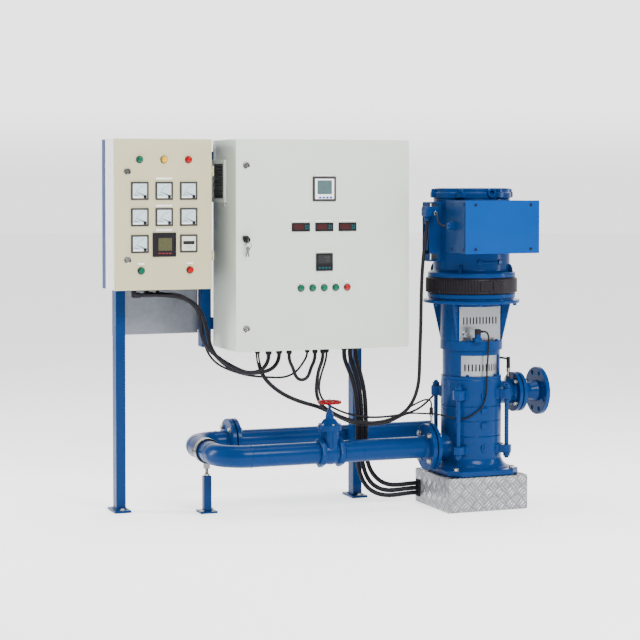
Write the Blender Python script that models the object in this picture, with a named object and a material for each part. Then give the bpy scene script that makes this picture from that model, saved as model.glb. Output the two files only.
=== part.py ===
"""Vertical multistage pump set with pipework and a two-cabinet control stand.

Metres, +Z up. The origin is on the floor, in the middle of the set's outline.
The cabinets face -Y, and the pump stands at the +X end.
"""

import math

import bmesh
import bpy
import numpy as np
from mathutils import Matrix, Vector

GAP = 0.0003
SKIM = 0.00005

# Stand
POST_WIDTH = 0.040
POST_DEPTH = 0.060
POST_FRONT_Y = 0.2115
POST_TOP = 1.500
LEFT_POST_X = -0.826
MID_POST_X = -0.461
RIGHT_POST_X = 0.211
MID_POST_BOTTOM = 0.662
FOOT_WIDTH = 0.070
FOOT_DEPTH = 0.120
FOOT_THICKNESS = 0.010
RAIL_DEPTH = 0.030
RAIL_HEIGHT = 0.050
TOP_RAIL_Z = 1.420
LOWER_RAIL_Z = 0.730
BACK_SHEET_BOTTOM = 0.718
BACK_SHEET_TOP = 1.400
BACK_SHEET_THICKNESS = 0.0015

# Cabinets
SHEET = 0.0025
CABINET_TOP = 1.515
SMALL_LEFT = -0.902
SMALL_RIGHT = -0.502
SMALL_BOTTOM = 0.915
SMALL_FRONT_Y = 0.0065
SMALL_BACK_Y = 0.1565
SPACER_BAR = 0.030
MAIN_LEFT = -0.433
MAIN_RIGHT = 0.317
MAIN_BOTTOM = 0.665
MAIN_FRONT_Y = -0.0885
DOOR_DEPTH = 0.020
DOOR_SEAM = 0.0015
SMALL_HINGE_X = -0.4955
SMALL_HINGE_Y = 0.0145
SMALL_HINGE_ZS = (1.048, 1.388)
MAIN_HINGE_X = 0.311
MAIN_HINGE_Y = -0.080
MAIN_HINGE_ZS = (0.800, 1.090, 1.380)

# Instruments on the doors
METER = 0.072
POWER_METER = 0.096
METER_XS = (-0.801, -0.701, -0.600)
METER_ZS = (1.309, 1.205, 1.099)
SMALL_LAMP_Z = 1.433
SMALL_BUTTON_Z = 0.993
SMALL_LOCK_X = -0.851
SMALL_LOCK_ZS = (1.386, 1.036)
MAIN_COLUMN_X = -0.057
DISPLAY_XS = (-0.158, -0.057, 0.044)
DISPLAY_Z = 1.162
MAIN_METER_Z = 1.316
CONTROLLER_Z = 1.020
MAIN_LAMP_XS = (-0.157, -0.107, -0.057, -0.007, 0.043)
MAIN_LAMP_Z = 0.916
MAIN_LOCK_X = -0.389
MAIN_LOCK_ZS = (1.410, 0.757)
HANDLE_Z = 1.115

# Pump
PUMP_X = 0.582
PUMP_Y = -0.1295
PLINTH_WIDTH = 0.358
PLINTH_DEPTH = 0.336
PLINTH_HEIGHT = 0.141
BARREL_RADIUS = 0.125
SUCTION_Z = 0.2515
DISCHARGE_Z = 0.465
ROD_OFFSET = 0.110
ROD_RADIUS = 0.009
FOOT_CASING_TOP = 0.299
STAGE_JOINT_Z = 0.362
STAGE_TOP = 0.422
BARREL_TOP = 0.545
BRACKET_TOP = 0.652
LANTERN_TOP = 0.8845
COOLING_RING_TOP = 0.9525
MOTOR_FLANGE_TOP = 0.976
MOTOR_RADIUS = 0.158
MOTOR_TOP = 1.277
CAP_TOP = 1.319
WINDOW_HALF_DEG = 48.0
RIB_DEG = 52.0
RIB_THICKNESS = 0.010
TERMINAL_BOX = ((-0.164, -0.2905, 1.057), (0.164, -0.100, 1.270))

# Pipework
PIPE_RADIUS = 0.04445
PIPE_BORE_RADIUS = 0.040
BEND_RADIUS = 0.114
FRONT_PIPE_Y = PUMP_Y
BACK_PIPE_Y = 0.3265
CROSS_PIPE_X = -0.501
PIPE_FLANGE_RADIUS = 0.095
FLANGE_THICKNESS = 0.020
SUCTION_FACE_X = PUMP_X - 0.190
BACK_FLANGE_X = -0.318
BACK_PIPE_END_X = 0.600
VALVE_X = -0.049
VALVE_HALF = 0.052
VALVE_COLLAR = 0.024
HANDWHEEL_Z = 0.449
HANDWHEEL_RADIUS = 0.050
SUPPORT_Y = 0.0865
DISCHARGE_FACE_X = PUMP_X + 0.205
OUTLET_FACE_X = 0.902

# Cables
PANEL_CABLE = 0.016
SIGNAL_CABLE = 0.009
MOTOR_CABLE = 0.0145
SENSOR_LEAD = 0.007
DISCHARGE_LEAD = 0.009
LOOP_CABLE = 0.014
PLINTH_CABLE = 0.0185
JUMPER_CABLE = 0.008


def clear_scene():
    """Remove every object of the open scene."""
    for thing in list(bpy.data.objects):
        bpy.data.objects.remove(thing, do_unlink=True)


def paint(name, colour, roughness, metallic=0.0):
    """A Principled material in one finish."""
    material = bpy.data.materials.new(name)
    material.use_nodes = True
    shader = material.node_tree.nodes["Principled BSDF"]
    shader.inputs["Base Color"].default_value = (*colour, 1.0)
    shader.inputs["Roughness"].default_value = roughness
    shader.inputs["Metallic"].default_value = metallic
    return material


# Shapes

def block(low, high, chamfer=0.0):
    """A box between two corners, with its upright edges chamfered if asked."""
    shape = bmesh.new()
    bmesh.ops.create_cube(shape, size=1.0)
    low, high = Vector(low), Vector(high)
    bmesh.ops.scale(shape, vec=high - low, verts=shape.verts)
    bmesh.ops.translate(shape, vec=(low + high) / 2, verts=shape.verts)
    if chamfer:
        upright = [edge for edge in shape.edges
                   if abs(edge.verts[0].co.z - edge.verts[1].co.z) > abs(high.z - low.z) / 2]
        bmesh.ops.bevel(shape, geom=upright, offset=chamfer, offset_type="OFFSET",
                        affect="EDGES", segments=1, profile=0.5, material=-1)
    return shape


def tray(low, high, wall):
    """A folded sheet pan that is open towards +Y."""
    shape = block(low, high)
    back = max(shape.faces, key=lambda face: face.calc_center_median().y)
    bmesh.ops.inset_region(shape, faces=[back], thickness=wall, use_even_offset=True)
    moved = bmesh.ops.extrude_face_region(shape, geom=[back])["geom"]
    bmesh.ops.translate(shape, vec=(0.0, wall - (high[1] - low[1]), 0.0),
                        verts=[item for item in moved if isinstance(item, bmesh.types.BMVert)])
    if back.is_valid:
        bmesh.ops.delete(shape, geom=[back], context="FACES_ONLY")
    return shape


def rod(start, end, radius, sides=16):
    """A round bar from one point to another."""
    start, end = Vector(start), Vector(end)
    shape = bmesh.new()
    bmesh.ops.create_cone(shape, cap_ends=True, segments=sides, radius1=radius, radius2=radius,
                          depth=(end - start).length)
    turn = (end - start).to_track_quat("Z", "Y").to_matrix().to_4x4()
    bmesh.ops.transform(shape, matrix=Matrix.Translation((start + end) / 2) @ turn, verts=shape.verts)
    return shape


def turned(profile, sides=32, base=(0.0, 0.0, 0.0), axis=(0.0, 0.0, 1.0)):
    """A solid of revolution: (radius, height) points from the axis round and back to it."""
    shape = bmesh.new()
    points = [shape.verts.new((radius, 0.0, height)) for radius, height in profile]
    for first, second in zip(points, points[1:]):
        shape.edges.new((first, second))
    bmesh.ops.spin(shape, geom=shape.verts[:] + shape.edges[:], cent=(0, 0, 0), axis=(0, 0, 1),
                   angle=math.tau, steps=sides, use_merge=True)
    bmesh.ops.remove_doubles(shape, verts=shape.verts, dist=0.00002)
    bmesh.ops.recalc_face_normals(shape, faces=shape.faces)
    turn = Vector(axis).to_track_quat("Z", "Y").to_matrix().to_4x4()
    bmesh.ops.transform(shape, matrix=Matrix.Translation(base) @ turn, verts=shape.verts)
    return shape


def prism(outline, low, high):
    """A flat outline in X and Y, raised from one height to another."""
    shape = bmesh.new()
    face = shape.faces.new([shape.verts.new((x, y, low)) for x, y in outline])
    raised = bmesh.ops.extrude_face_region(shape, geom=[face])["geom"]
    bmesh.ops.translate(shape, vec=(0, 0, high - low),
                        verts=[item for item in raised if isinstance(item, bmesh.types.BMVert)])
    bmesh.ops.recalc_face_normals(shape, faces=shape.faces)
    return shape


def sector(inner, outer, low, high, middle_deg, half_deg, step_deg=6.0):
    """A curved slab between two radii, over an arc about +Z."""
    count = max(2, round(2 * half_deg / step_deg))
    angles = [math.radians(middle_deg - half_deg + 2 * half_deg * index / count)
              for index in range(count + 1)]
    outline = [(outer * math.cos(angle), outer * math.sin(angle)) for angle in angles]
    outline += [(inner * math.cos(angle), inner * math.sin(angle)) for angle in reversed(angles)]
    return prism(outline, low, high)


def ring_of(shape_maker, count, first_deg=0.0):
    """One mesh with a shape repeated round +Z."""
    whole = bmesh.new()
    for index in range(count):
        one = shape_maker()
        turn = Matrix.Rotation(math.radians(first_deg + 360.0 * index / count), 4, "Z")
        bmesh.ops.transform(one, matrix=turn, verts=one.verts)
        append(whole, one)
    return whole


def append(whole, extra):
    """Add one bmesh to another as a body of its own."""
    mesh = bpy.data.meshes.new("part_of_shape")
    extra.to_mesh(mesh)
    extra.free()
    whole.from_mesh(mesh)
    bpy.data.meshes.remove(mesh)


def together(*shapes):
    """Several bodies in one mesh."""
    whole = bmesh.new()
    for shape in shapes:
        append(whole, shape)
    return whole


def pipe_run(start, centre, first_deg, last_deg, end, tube, steps=10, sides=24):
    """A pipe at one height: straight, then a bend about a centre, then straight."""
    stations = [(Vector(start), first_deg)]
    for index in range(steps + 1):
        angle = first_deg + (last_deg - first_deg) * index / steps
        turn = math.radians(angle)
        place = Vector(centre) + BEND_RADIUS * Vector((math.cos(turn), math.sin(turn), 0.0))
        stations.append((place, angle))
    stations.append((Vector(end), last_deg))
    shape = bmesh.new()
    rings = []
    for place, angle in stations:
        outward = Vector((math.cos(math.radians(angle)), math.sin(math.radians(angle)), 0.0))
        ring = []
        for index in range(sides):
            turn = math.tau * (index + 0.5) / sides
            ring.append(shape.verts.new(place + tube * (math.cos(turn) * outward + Vector((0, 0, math.sin(turn))))))
        rings.append(ring)
    for near, far in zip(rings, rings[1:]):
        for index in range(sides):
            after = (index + 1) % sides
            shape.faces.new((near[index], near[after], far[after], far[index]))
    shape.faces.new(rings[0])
    shape.faces.new(rings[-1])
    bmesh.ops.recalc_face_normals(shape, faces=shape.faces)
    return shape


# Objects

def mesh_object(name, shape, at, parent):
    """Turn a bmesh into an object of the scene."""
    bmesh.ops.recalc_face_normals(shape, faces=shape.faces)
    mesh = bpy.data.meshes.new(name)
    shape.to_mesh(mesh)
    shape.free()
    mesh.shade_smooth()
    mesh.set_sharp_from_angle(angle=math.radians(30))
    thing = bpy.data.objects.new(name, mesh)
    bpy.context.scene.collection.objects.link(thing)
    thing.location = at
    thing.parent = parent
    return thing


def combine(body, shape, operation, at, parent):
    """Join a shape to a body, or cut it away, with a Boolean modifier."""
    tool = mesh_object(f"{body.name}_{operation.lower()}_{len(body.modifiers)}", shape, at, parent)
    tool.hide_render = True
    tool.display_type = "WIRE"
    modifier = body.modifiers.new(tool.name, "BOOLEAN")
    modifier.operation = operation
    modifier.solver = "EXACT"
    modifier.object = tool


def piece(name, material, shapes, cuts=(), at=(0.0, 0.0, 0.0), parent=None):
    """One named solid: the union of its shapes, less its cuts."""
    body = mesh_object(name, shapes[0], at, parent)
    body.data.materials.append(material)
    for shape in shapes[1:]:
        combine(body, shape, "UNION", at, parent)
    for shape in cuts:
        combine(body, shape, "DIFFERENCE", at, parent)
    return body


def pivot(name, place):
    """An empty on a joint's axis, or at a group's own reference point."""
    empty = bpy.data.objects.new(name, None)
    empty.location = place
    bpy.context.scene.collection.objects.link(empty)
    return empty


def natural_spline(route, samples=400):
    """Closely spaced points on the natural cubic spline through a route."""
    knots = np.array(route, dtype=float)
    spans = np.linalg.norm(np.diff(knots, axis=0), axis=1)
    times = np.concatenate([[0.0], np.cumsum(spans)])
    count = len(knots)
    system = np.eye(count)
    right = np.zeros_like(knots)
    for index in range(1, count - 1):
        before, after = spans[index - 1], spans[index]
        system[index, index - 1:index + 2] = (before, 2 * (before + after), after)
        right[index] = 6 * ((knots[index + 1] - knots[index]) / after
                            - (knots[index] - knots[index - 1]) / before)
    curvature = np.linalg.solve(system, right)
    fine = []
    for value in np.linspace(0.0, times[-1], samples):
        index = min(int(np.searchsorted(times, value, side="right")) - 1, count - 2)
        span = spans[index]
        near, far = times[index + 1] - value, value - times[index]
        fine.append(curvature[index] * near ** 3 / (6 * span)
                    + curvature[index + 1] * far ** 3 / (6 * span)
                    + (knots[index] / span - curvature[index] * span / 6) * near
                    + (knots[index + 1] / span - curvature[index + 1] * span / 6) * far)
    return np.array(fine)


def even_points(fine, spacing, end_step):
    """Points at even steps along a finely sampled line, and one close to each end."""
    lengths = np.concatenate([[0.0], np.cumsum(np.linalg.norm(np.diff(fine, axis=0), axis=1))])
    count = max(4, round(lengths[-1] / spacing))
    wanted = np.linspace(0.0, lengths[-1], count + 1)
    wanted = np.sort(np.concatenate([wanted, [end_step, lengths[-1] - end_step]]))
    return np.stack([np.interp(wanted, lengths, fine[:, axis]) for axis in range(3)], axis=1)


def cable(name, material, route, diameter, spacing_diameters=3.0):
    """A round cable along a smooth curve through its route points."""
    points = even_points(natural_spline(route), diameter * spacing_diameters, diameter * 0.8)
    curve = bpy.data.curves.new(name, "CURVE")
    curve.dimensions = "3D"
    curve.bevel_depth = diameter / 2
    curve.bevel_resolution = 2
    curve.use_fill_caps = True
    spline = curve.splines.new("POLY")
    spline.points.add(len(points) - 1)
    for point, place in zip(spline.points, points):
        point.co = (*place, 1.0)
    curve.materials.append(material)
    thing = bpy.data.objects.new(name, curve)
    bpy.context.scene.collection.objects.link(thing)
    return thing


# Stand

def make_stand(finish, sheet_finish):
    stand = pivot("stand", (0.0, 0.0, 0.0))
    back_y = POST_FRONT_Y + POST_DEPTH
    for name, x in (("stand_left_leg", LEFT_POST_X), ("stand_right_leg", RIGHT_POST_X)):
        middle_y = POST_FRONT_Y + POST_DEPTH / 2
        post = block((x - POST_WIDTH / 2, POST_FRONT_Y + GAP, FOOT_THICKNESS / 2),
                     (x + POST_WIDTH / 2, back_y, POST_TOP), chamfer=0.004)
        foot = block((x - FOOT_WIDTH / 2, middle_y - FOOT_DEPTH / 2, 0.0),
                     (x + FOOT_WIDTH / 2, middle_y + FOOT_DEPTH / 2, FOOT_THICKNESS))
        bolts = together(*(rod((x, middle_y + side * 0.045, 0.005), (x, middle_y + side * 0.045, 0.018),
                               0.009, 6) for side in (-1, 1)))
        piece(name, finish, [post, foot, bolts], parent=stand)
    piece("stand_mid_upright", finish,
          [block((MID_POST_X - POST_WIDTH / 2, POST_FRONT_Y + GAP, MID_POST_BOTTOM),
                 (MID_POST_X + POST_WIDTH / 2, back_y, POST_TOP), chamfer=0.004)], parent=stand)
    rail_front = back_y + GAP
    piece("stand_top_rail", finish,
          [block((LEFT_POST_X - POST_WIDTH / 2, rail_front, TOP_RAIL_Z),
                 (RIGHT_POST_X + POST_WIDTH / 2, rail_front + RAIL_DEPTH, TOP_RAIL_Z + RAIL_HEIGHT))],
          parent=stand)
    piece("stand_lower_rail", finish,
          [block((MID_POST_X - POST_WIDTH / 2 + GAP, rail_front, LOWER_RAIL_Z),
                 (RIGHT_POST_X + POST_WIDTH / 2, rail_front + RAIL_DEPTH, LOWER_RAIL_Z + RAIL_HEIGHT))],
          parent=stand)
    piece("stand_back_sheet", sheet_finish,
          [block((LEFT_POST_X - POST_WIDTH / 2, rail_front, BACK_SHEET_BOTTOM),
                 (MID_POST_X - POST_WIDTH / 2 - GAP, rail_front + BACK_SHEET_THICKNESS, BACK_SHEET_TOP))],
          parent=stand)


# Small cabinet

def square_face(x, z, size, front_y, height):
    """A square instrument bezel that stands out of a door's front."""
    return block((x - size / 2, front_y - height, z - size / 2),
                 (x + size / 2, front_y + SHEET / 2, z + size / 2))


def round_face(x, z, radius, front_y, height, sides=16):
    """A lamp, button or lock that stands out of a door's front."""
    return rod((x, front_y + SHEET / 2, z), (x, front_y - height, z), radius, sides)


def make_small_cabinet(finish, spacer_finish, gland_finish):
    cabinet = pivot("small_cabinet", (0.0, 0.0, 0.0))
    shell_front = SMALL_FRONT_Y + DOOR_DEPTH + DOOR_SEAM
    pan = tray((SMALL_LEFT, 0.0, SMALL_BOTTOM), (SMALL_RIGHT, SMALL_BACK_Y - shell_front, CABINET_TOP), SHEET)
    bmesh.ops.scale(pan, vec=(1, -1, 1), verts=pan.verts)
    bmesh.ops.translate(pan, vec=(0, SMALL_BACK_Y, 0), verts=pan.verts)
    arms = []
    near, far = SMALL_HINGE_X - 0.0045, SMALL_HINGE_X + 0.0045
    outline = [(near, SMALL_HINGE_Y), (near + 0.0013, SMALL_HINGE_Y - 0.0032),
               (SMALL_HINGE_X, SMALL_HINGE_Y - 0.0045), (far - 0.0013, SMALL_HINGE_Y - 0.0032),
               (far, SMALL_HINGE_Y), (far, shell_front + 0.018),
               (SMALL_RIGHT - SHEET / 2, shell_front + 0.018), (SMALL_RIGHT - SHEET / 2, shell_front + 0.004),
               (near, shell_front + 0.004)]
    for z in SMALL_HINGE_ZS:
        arms.append(prism(outline, z - 0.020, z - 0.0065))
        arms.append(prism(outline, z + 0.0065, z + 0.020))
    piece("small_cabinet_shell", finish, [pan, together(*arms)], parent=cabinet)
    hinge = pivot("small_door_hinge", (SMALL_HINGE_X, SMALL_HINGE_Y, 0.0))
    back = (-SMALL_HINGE_X, -SMALL_HINGE_Y, 0.0)
    door = tray((SMALL_LEFT, SMALL_FRONT_Y, SMALL_BOTTOM), (SMALL_RIGHT, SMALL_FRONT_Y + DOOR_DEPTH, CABINET_TOP),
                SHEET)
    faces = [square_face(x, z, METER, SMALL_FRONT_Y, 0.006) for z in METER_ZS for x in METER_XS
             if not (x == METER_XS[1] and z == METER_ZS[2])]
    faces.append(square_face(METER_XS[1], METER_ZS[2] - 0.004, POWER_METER, SMALL_FRONT_Y, 0.008))
    faces += [round_face(x, SMALL_LAMP_Z, 0.0145, SMALL_FRONT_Y, 0.014) for x in METER_XS]
    faces += [round_face(x, SMALL_BUTTON_Z, 0.0145, SMALL_FRONT_Y, 0.014)
              for x in (METER_XS[0] + 0.005, METER_XS[2] + 0.005)]
    faces += [round_face(SMALL_LOCK_X, z, 0.012, SMALL_FRONT_Y, 0.004) for z in SMALL_LOCK_ZS]
    wall_x = SMALL_RIGHT - SHEET / 2
    outline = [(wall_x, SMALL_HINGE_Y - 0.0045), (SMALL_HINGE_X, SMALL_HINGE_Y - 0.0045),
               (SMALL_HINGE_X + 0.0032, SMALL_HINGE_Y - 0.0032), (SMALL_HINGE_X + 0.0045, SMALL_HINGE_Y),
               (SMALL_HINGE_X + 0.0032, SMALL_HINGE_Y + 0.0032), (SMALL_HINGE_X, SMALL_HINGE_Y + 0.0045),
               (wall_x, SMALL_HINGE_Y + 0.0045)]
    knuckles = [prism(outline, z - 0.006, z + 0.006) for z in SMALL_HINGE_ZS]
    shapes = [door, together(*faces), together(*knuckles)]
    for shape in shapes:
        bmesh.ops.translate(shape, vec=back, verts=shape.verts)
    piece("small_cabinet_door", finish, shapes, parent=hinge)
    outer = block((SMALL_LEFT, SMALL_BACK_Y + GAP, SMALL_BOTTOM), (SMALL_RIGHT, POST_FRONT_Y, CABINET_TOP))
    inner = block((SMALL_LEFT + SPACER_BAR, SMALL_BACK_Y - 0.05, SMALL_BOTTOM + SPACER_BAR),
                  (SMALL_RIGHT - SPACER_BAR, POST_FRONT_Y + 0.05, CABINET_TOP - SPACER_BAR))
    piece("small_cabinet_spacer", spacer_finish, [outer], [inner], parent=cabinet)
    plate = block((-0.850, 0.035, SMALL_BOTTOM - 0.0035), (-0.660, 0.130, SMALL_BOTTOM - GAP))
    glands = []
    for x, y, radius in ((-0.815, 0.050, 0.0115), (-0.755, 0.080, 0.0115), (-0.700, 0.110, 0.008)):
        glands.append(rod((x, y, SMALL_BOTTOM - 0.002), (x, y, 0.893 - radius), radius, 12))
        glands.append(rod((x - radius * 0.5, y, 0.893), (x + 0.030, y, 0.893), radius, 12))
    piece("small_gland_plate", gland_finish, [plate] + glands, parent=cabinet)


# Main cabinet

def make_main_cabinet(finish, plate_finish, gland_finish, handle_finish, vent_finish):
    cabinet = pivot("main_cabinet", (0.0, 0.0, 0.0))
    shell_front = MAIN_FRONT_Y + DOOR_DEPTH + DOOR_SEAM + 0.0005
    shell_back = POST_FRONT_Y
    pan = tray((MAIN_LEFT, 0.0, MAIN_BOTTOM), (MAIN_RIGHT, shell_back - shell_front, CABINET_TOP), SHEET)
    bmesh.ops.scale(pan, vec=(1, -1, 1), verts=pan.verts)
    bmesh.ops.translate(pan, vec=(0, shell_back, 0), verts=pan.verts)
    near, far = MAIN_HINGE_X - 0.0035, MAIN_HINGE_X + 0.0035
    outline = [(near, MAIN_HINGE_Y), (near + 0.001, MAIN_HINGE_Y - 0.0025), (MAIN_HINGE_X, MAIN_HINGE_Y - 0.0035),
               (far - 0.001, MAIN_HINGE_Y - 0.0025), (far, MAIN_HINGE_Y), (far, shell_front + 0.010),
               (MAIN_RIGHT - SHEET / 2, shell_front + 0.010), (MAIN_RIGHT - SHEET / 2, shell_front + 0.030),
               (near, shell_front + 0.030)]
    arms = [prism(outline, z - 0.020, z + 0.020) for z in MAIN_HINGE_ZS]
    piece("main_cabinet_shell", finish, [pan, together(*arms)], parent=cabinet)
    plate_front = 0.185
    plate = block((MAIN_LEFT + 0.033, plate_front, MAIN_BOTTOM + 0.035),
                  (MAIN_RIGHT - 0.032, plate_front + 0.003, CABINET_TOP - 0.035))
    studs = together(*(rod((x, plate_front + 0.001, z), (x, shell_back - SHEET - GAP, z), 0.006, 8)
                       for x in (MAIN_LEFT + 0.06, MAIN_RIGHT - 0.06) for z in (0.73, 1.45)))
    piece("main_mounting_plate", plate_finish, [plate, studs], parent=cabinet)

    hinge = pivot("main_door_hinge", (MAIN_HINGE_X, MAIN_HINGE_Y, 0.0))
    back = (-MAIN_HINGE_X, -MAIN_HINGE_Y, 0.0)
    door = tray((MAIN_LEFT, MAIN_FRONT_Y, MAIN_BOTTOM), (MAIN_RIGHT, MAIN_FRONT_Y + DOOR_DEPTH, CABINET_TOP),
                SHEET)
    faces = [square_face(MAIN_COLUMN_X, MAIN_METER_Z, POWER_METER, MAIN_FRONT_Y, 0.008),
             square_face(MAIN_COLUMN_X, CONTROLLER_Z, METER, MAIN_FRONT_Y, 0.008)]
    faces += [block((x - 0.0385, MAIN_FRONT_Y - 0.006, DISPLAY_Z - 0.0175),
                    (x + 0.0385, MAIN_FRONT_Y + SHEET / 2, DISPLAY_Z + 0.0175)) for x in DISPLAY_XS]
    faces += [round_face(x, MAIN_LAMP_Z, 0.0145, MAIN_FRONT_Y, 0.014) for x in MAIN_LAMP_XS]
    faces += [round_face(MAIN_LOCK_X, z, 0.012, MAIN_FRONT_Y, 0.004) for z in MAIN_LOCK_ZS]
    knuckles, notches = [], []
    for z in MAIN_HINGE_ZS:
        notches.append(block((MAIN_HINGE_X + 0.001, MAIN_FRONT_Y + SHEET, z - 0.028),
                             (MAIN_RIGHT + 0.01, MAIN_FRONT_Y + DOOR_DEPTH + 0.01, z + 0.028)))
        for side in (-1, 1):
            low, high = sorted((z + side * 0.0205, z + side * 0.0265))
            knuckles.append(block((MAIN_HINGE_X - 0.0035, MAIN_FRONT_Y + SHEET / 2, low),
                                  (MAIN_HINGE_X + 0.0035, MAIN_HINGE_Y + 0.001, high)))
    shapes = [door, together(*faces)]
    cuts = [together(*notches)]
    joined = [together(*knuckles)]
    for shape in shapes + cuts + joined:
        bmesh.ops.translate(shape, vec=back, verts=shape.verts)
    body = piece("main_cabinet_door", finish, shapes, cuts, parent=hinge)
    combine(body, joined[0], "UNION", (0, 0, 0), hinge)

    handle_at = (MAIN_LOCK_X - MAIN_HINGE_X, MAIN_FRONT_Y - GAP - MAIN_HINGE_Y, HANDLE_Z)
    base = block((-0.0115, -0.006, -0.016), (0.0115, 0.0, 0.016))
    barrel = rod((0.0, -0.004, -0.002), (0.0, -0.022, -0.002), 0.010, 12)
    wing = block((-0.020, -0.014, 0.002), (0.004, -0.006, 0.016))
    piece("main_door_handle", handle_finish, [base, barrel, wing], at=handle_at, parent=hinge)

    outer = block((MAIN_LEFT - GAP - 0.012, 0.025, 1.261), (MAIN_LEFT - GAP, 0.195, 1.433))
    recess = block((MAIN_LEFT - 0.020, 0.038, 1.276), (MAIN_LEFT - 0.006, 0.160, 1.418))
    piece("main_vent_filter", vent_finish, [outer], [recess], parent=cabinet)

    plate = block((-0.330, 0.005, MAIN_BOTTOM - 0.0035), (0.195, 0.130, MAIN_BOTTOM - GAP))
    glands = together(*(rod((x, y, MAIN_BOTTOM - 0.002), (x, y, 0.6415), radius, 12)
                        for x, y, radius in MAIN_GLANDS))
    piece("main_gland_plate", gland_finish, [plate, glands], parent=cabinet)


MAIN_GLANDS = (
    (-0.2805, 0.092, 0.0115),
    (-0.2525, 0.034, 0.0135),
    (-0.1972, 0.062, 0.0135),
    (-0.1652, 0.030, 0.012),
    (-0.0676, 0.080, 0.011),
    (-0.0521, 0.030, 0.012),
    (-0.0212, 0.020, 0.012),
    (0.0060, 0.048, 0.011),
    (0.105, 0.100, 0.0125),
    (0.131, 0.100, 0.0125),
    (0.157, 0.100, 0.0125),
)


# Pump

def flange(x_low, x_high, radius, z, bolts, bolt_circle, bolt_radius, side):
    """A round pipe flange across X with bolt heads on one face."""
    disc = rod((x_low, 0, z), (x_high, 0, z), radius, 32)
    heads = bmesh.new()
    face = x_high if side > 0 else x_low
    for index in range(bolts):
        angle = math.tau * (index + 0.5) / bolts
        y, height = bolt_circle * math.cos(angle), z + bolt_circle * math.sin(angle)
        append(heads, rod((face - side * 0.004, y, height), (face + side * 0.011, y, height), bolt_radius, 6))
    return [disc, heads]


def lugs(low, high):
    """Four blocks on the barrel that the tie rods pass through."""
    return ring_of(lambda: block((0.110, -0.020, low), (0.174, 0.020, high), chamfer=0.008), 4, 45.0)


def rod_holes(low, high):
    return together(*(rod((x, y, low), (x, y, high), ROD_RADIUS + 0.0005, 12)
                      for x in (-ROD_OFFSET, ROD_OFFSET) for y in (-ROD_OFFSET, ROD_OFFSET)))


def stage_room(low, high):
    """The space of the stage casing, which the nozzles' necks stay out of."""
    return rod((0, 0, low), (0, 0, high), BARREL_RADIUS + GAP, 48)


def upright_rib(azimuth_deg):
    """A triangular rib under the motor's seat, beside a lantern window."""
    rib = prism([(0.120, 0.690), (0.130, 0.690), (0.1655, 0.8455), (0.120, 0.8455)],
                -RIB_THICKNESS / 2, RIB_THICKNESS / 2)
    turn = Matrix.Rotation(math.radians(azimuth_deg), 4, "Z") @ Matrix.Rotation(math.radians(90), 4, "X")
    bmesh.ops.transform(rib, matrix=turn, verts=rib.verts)
    return rib


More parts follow.
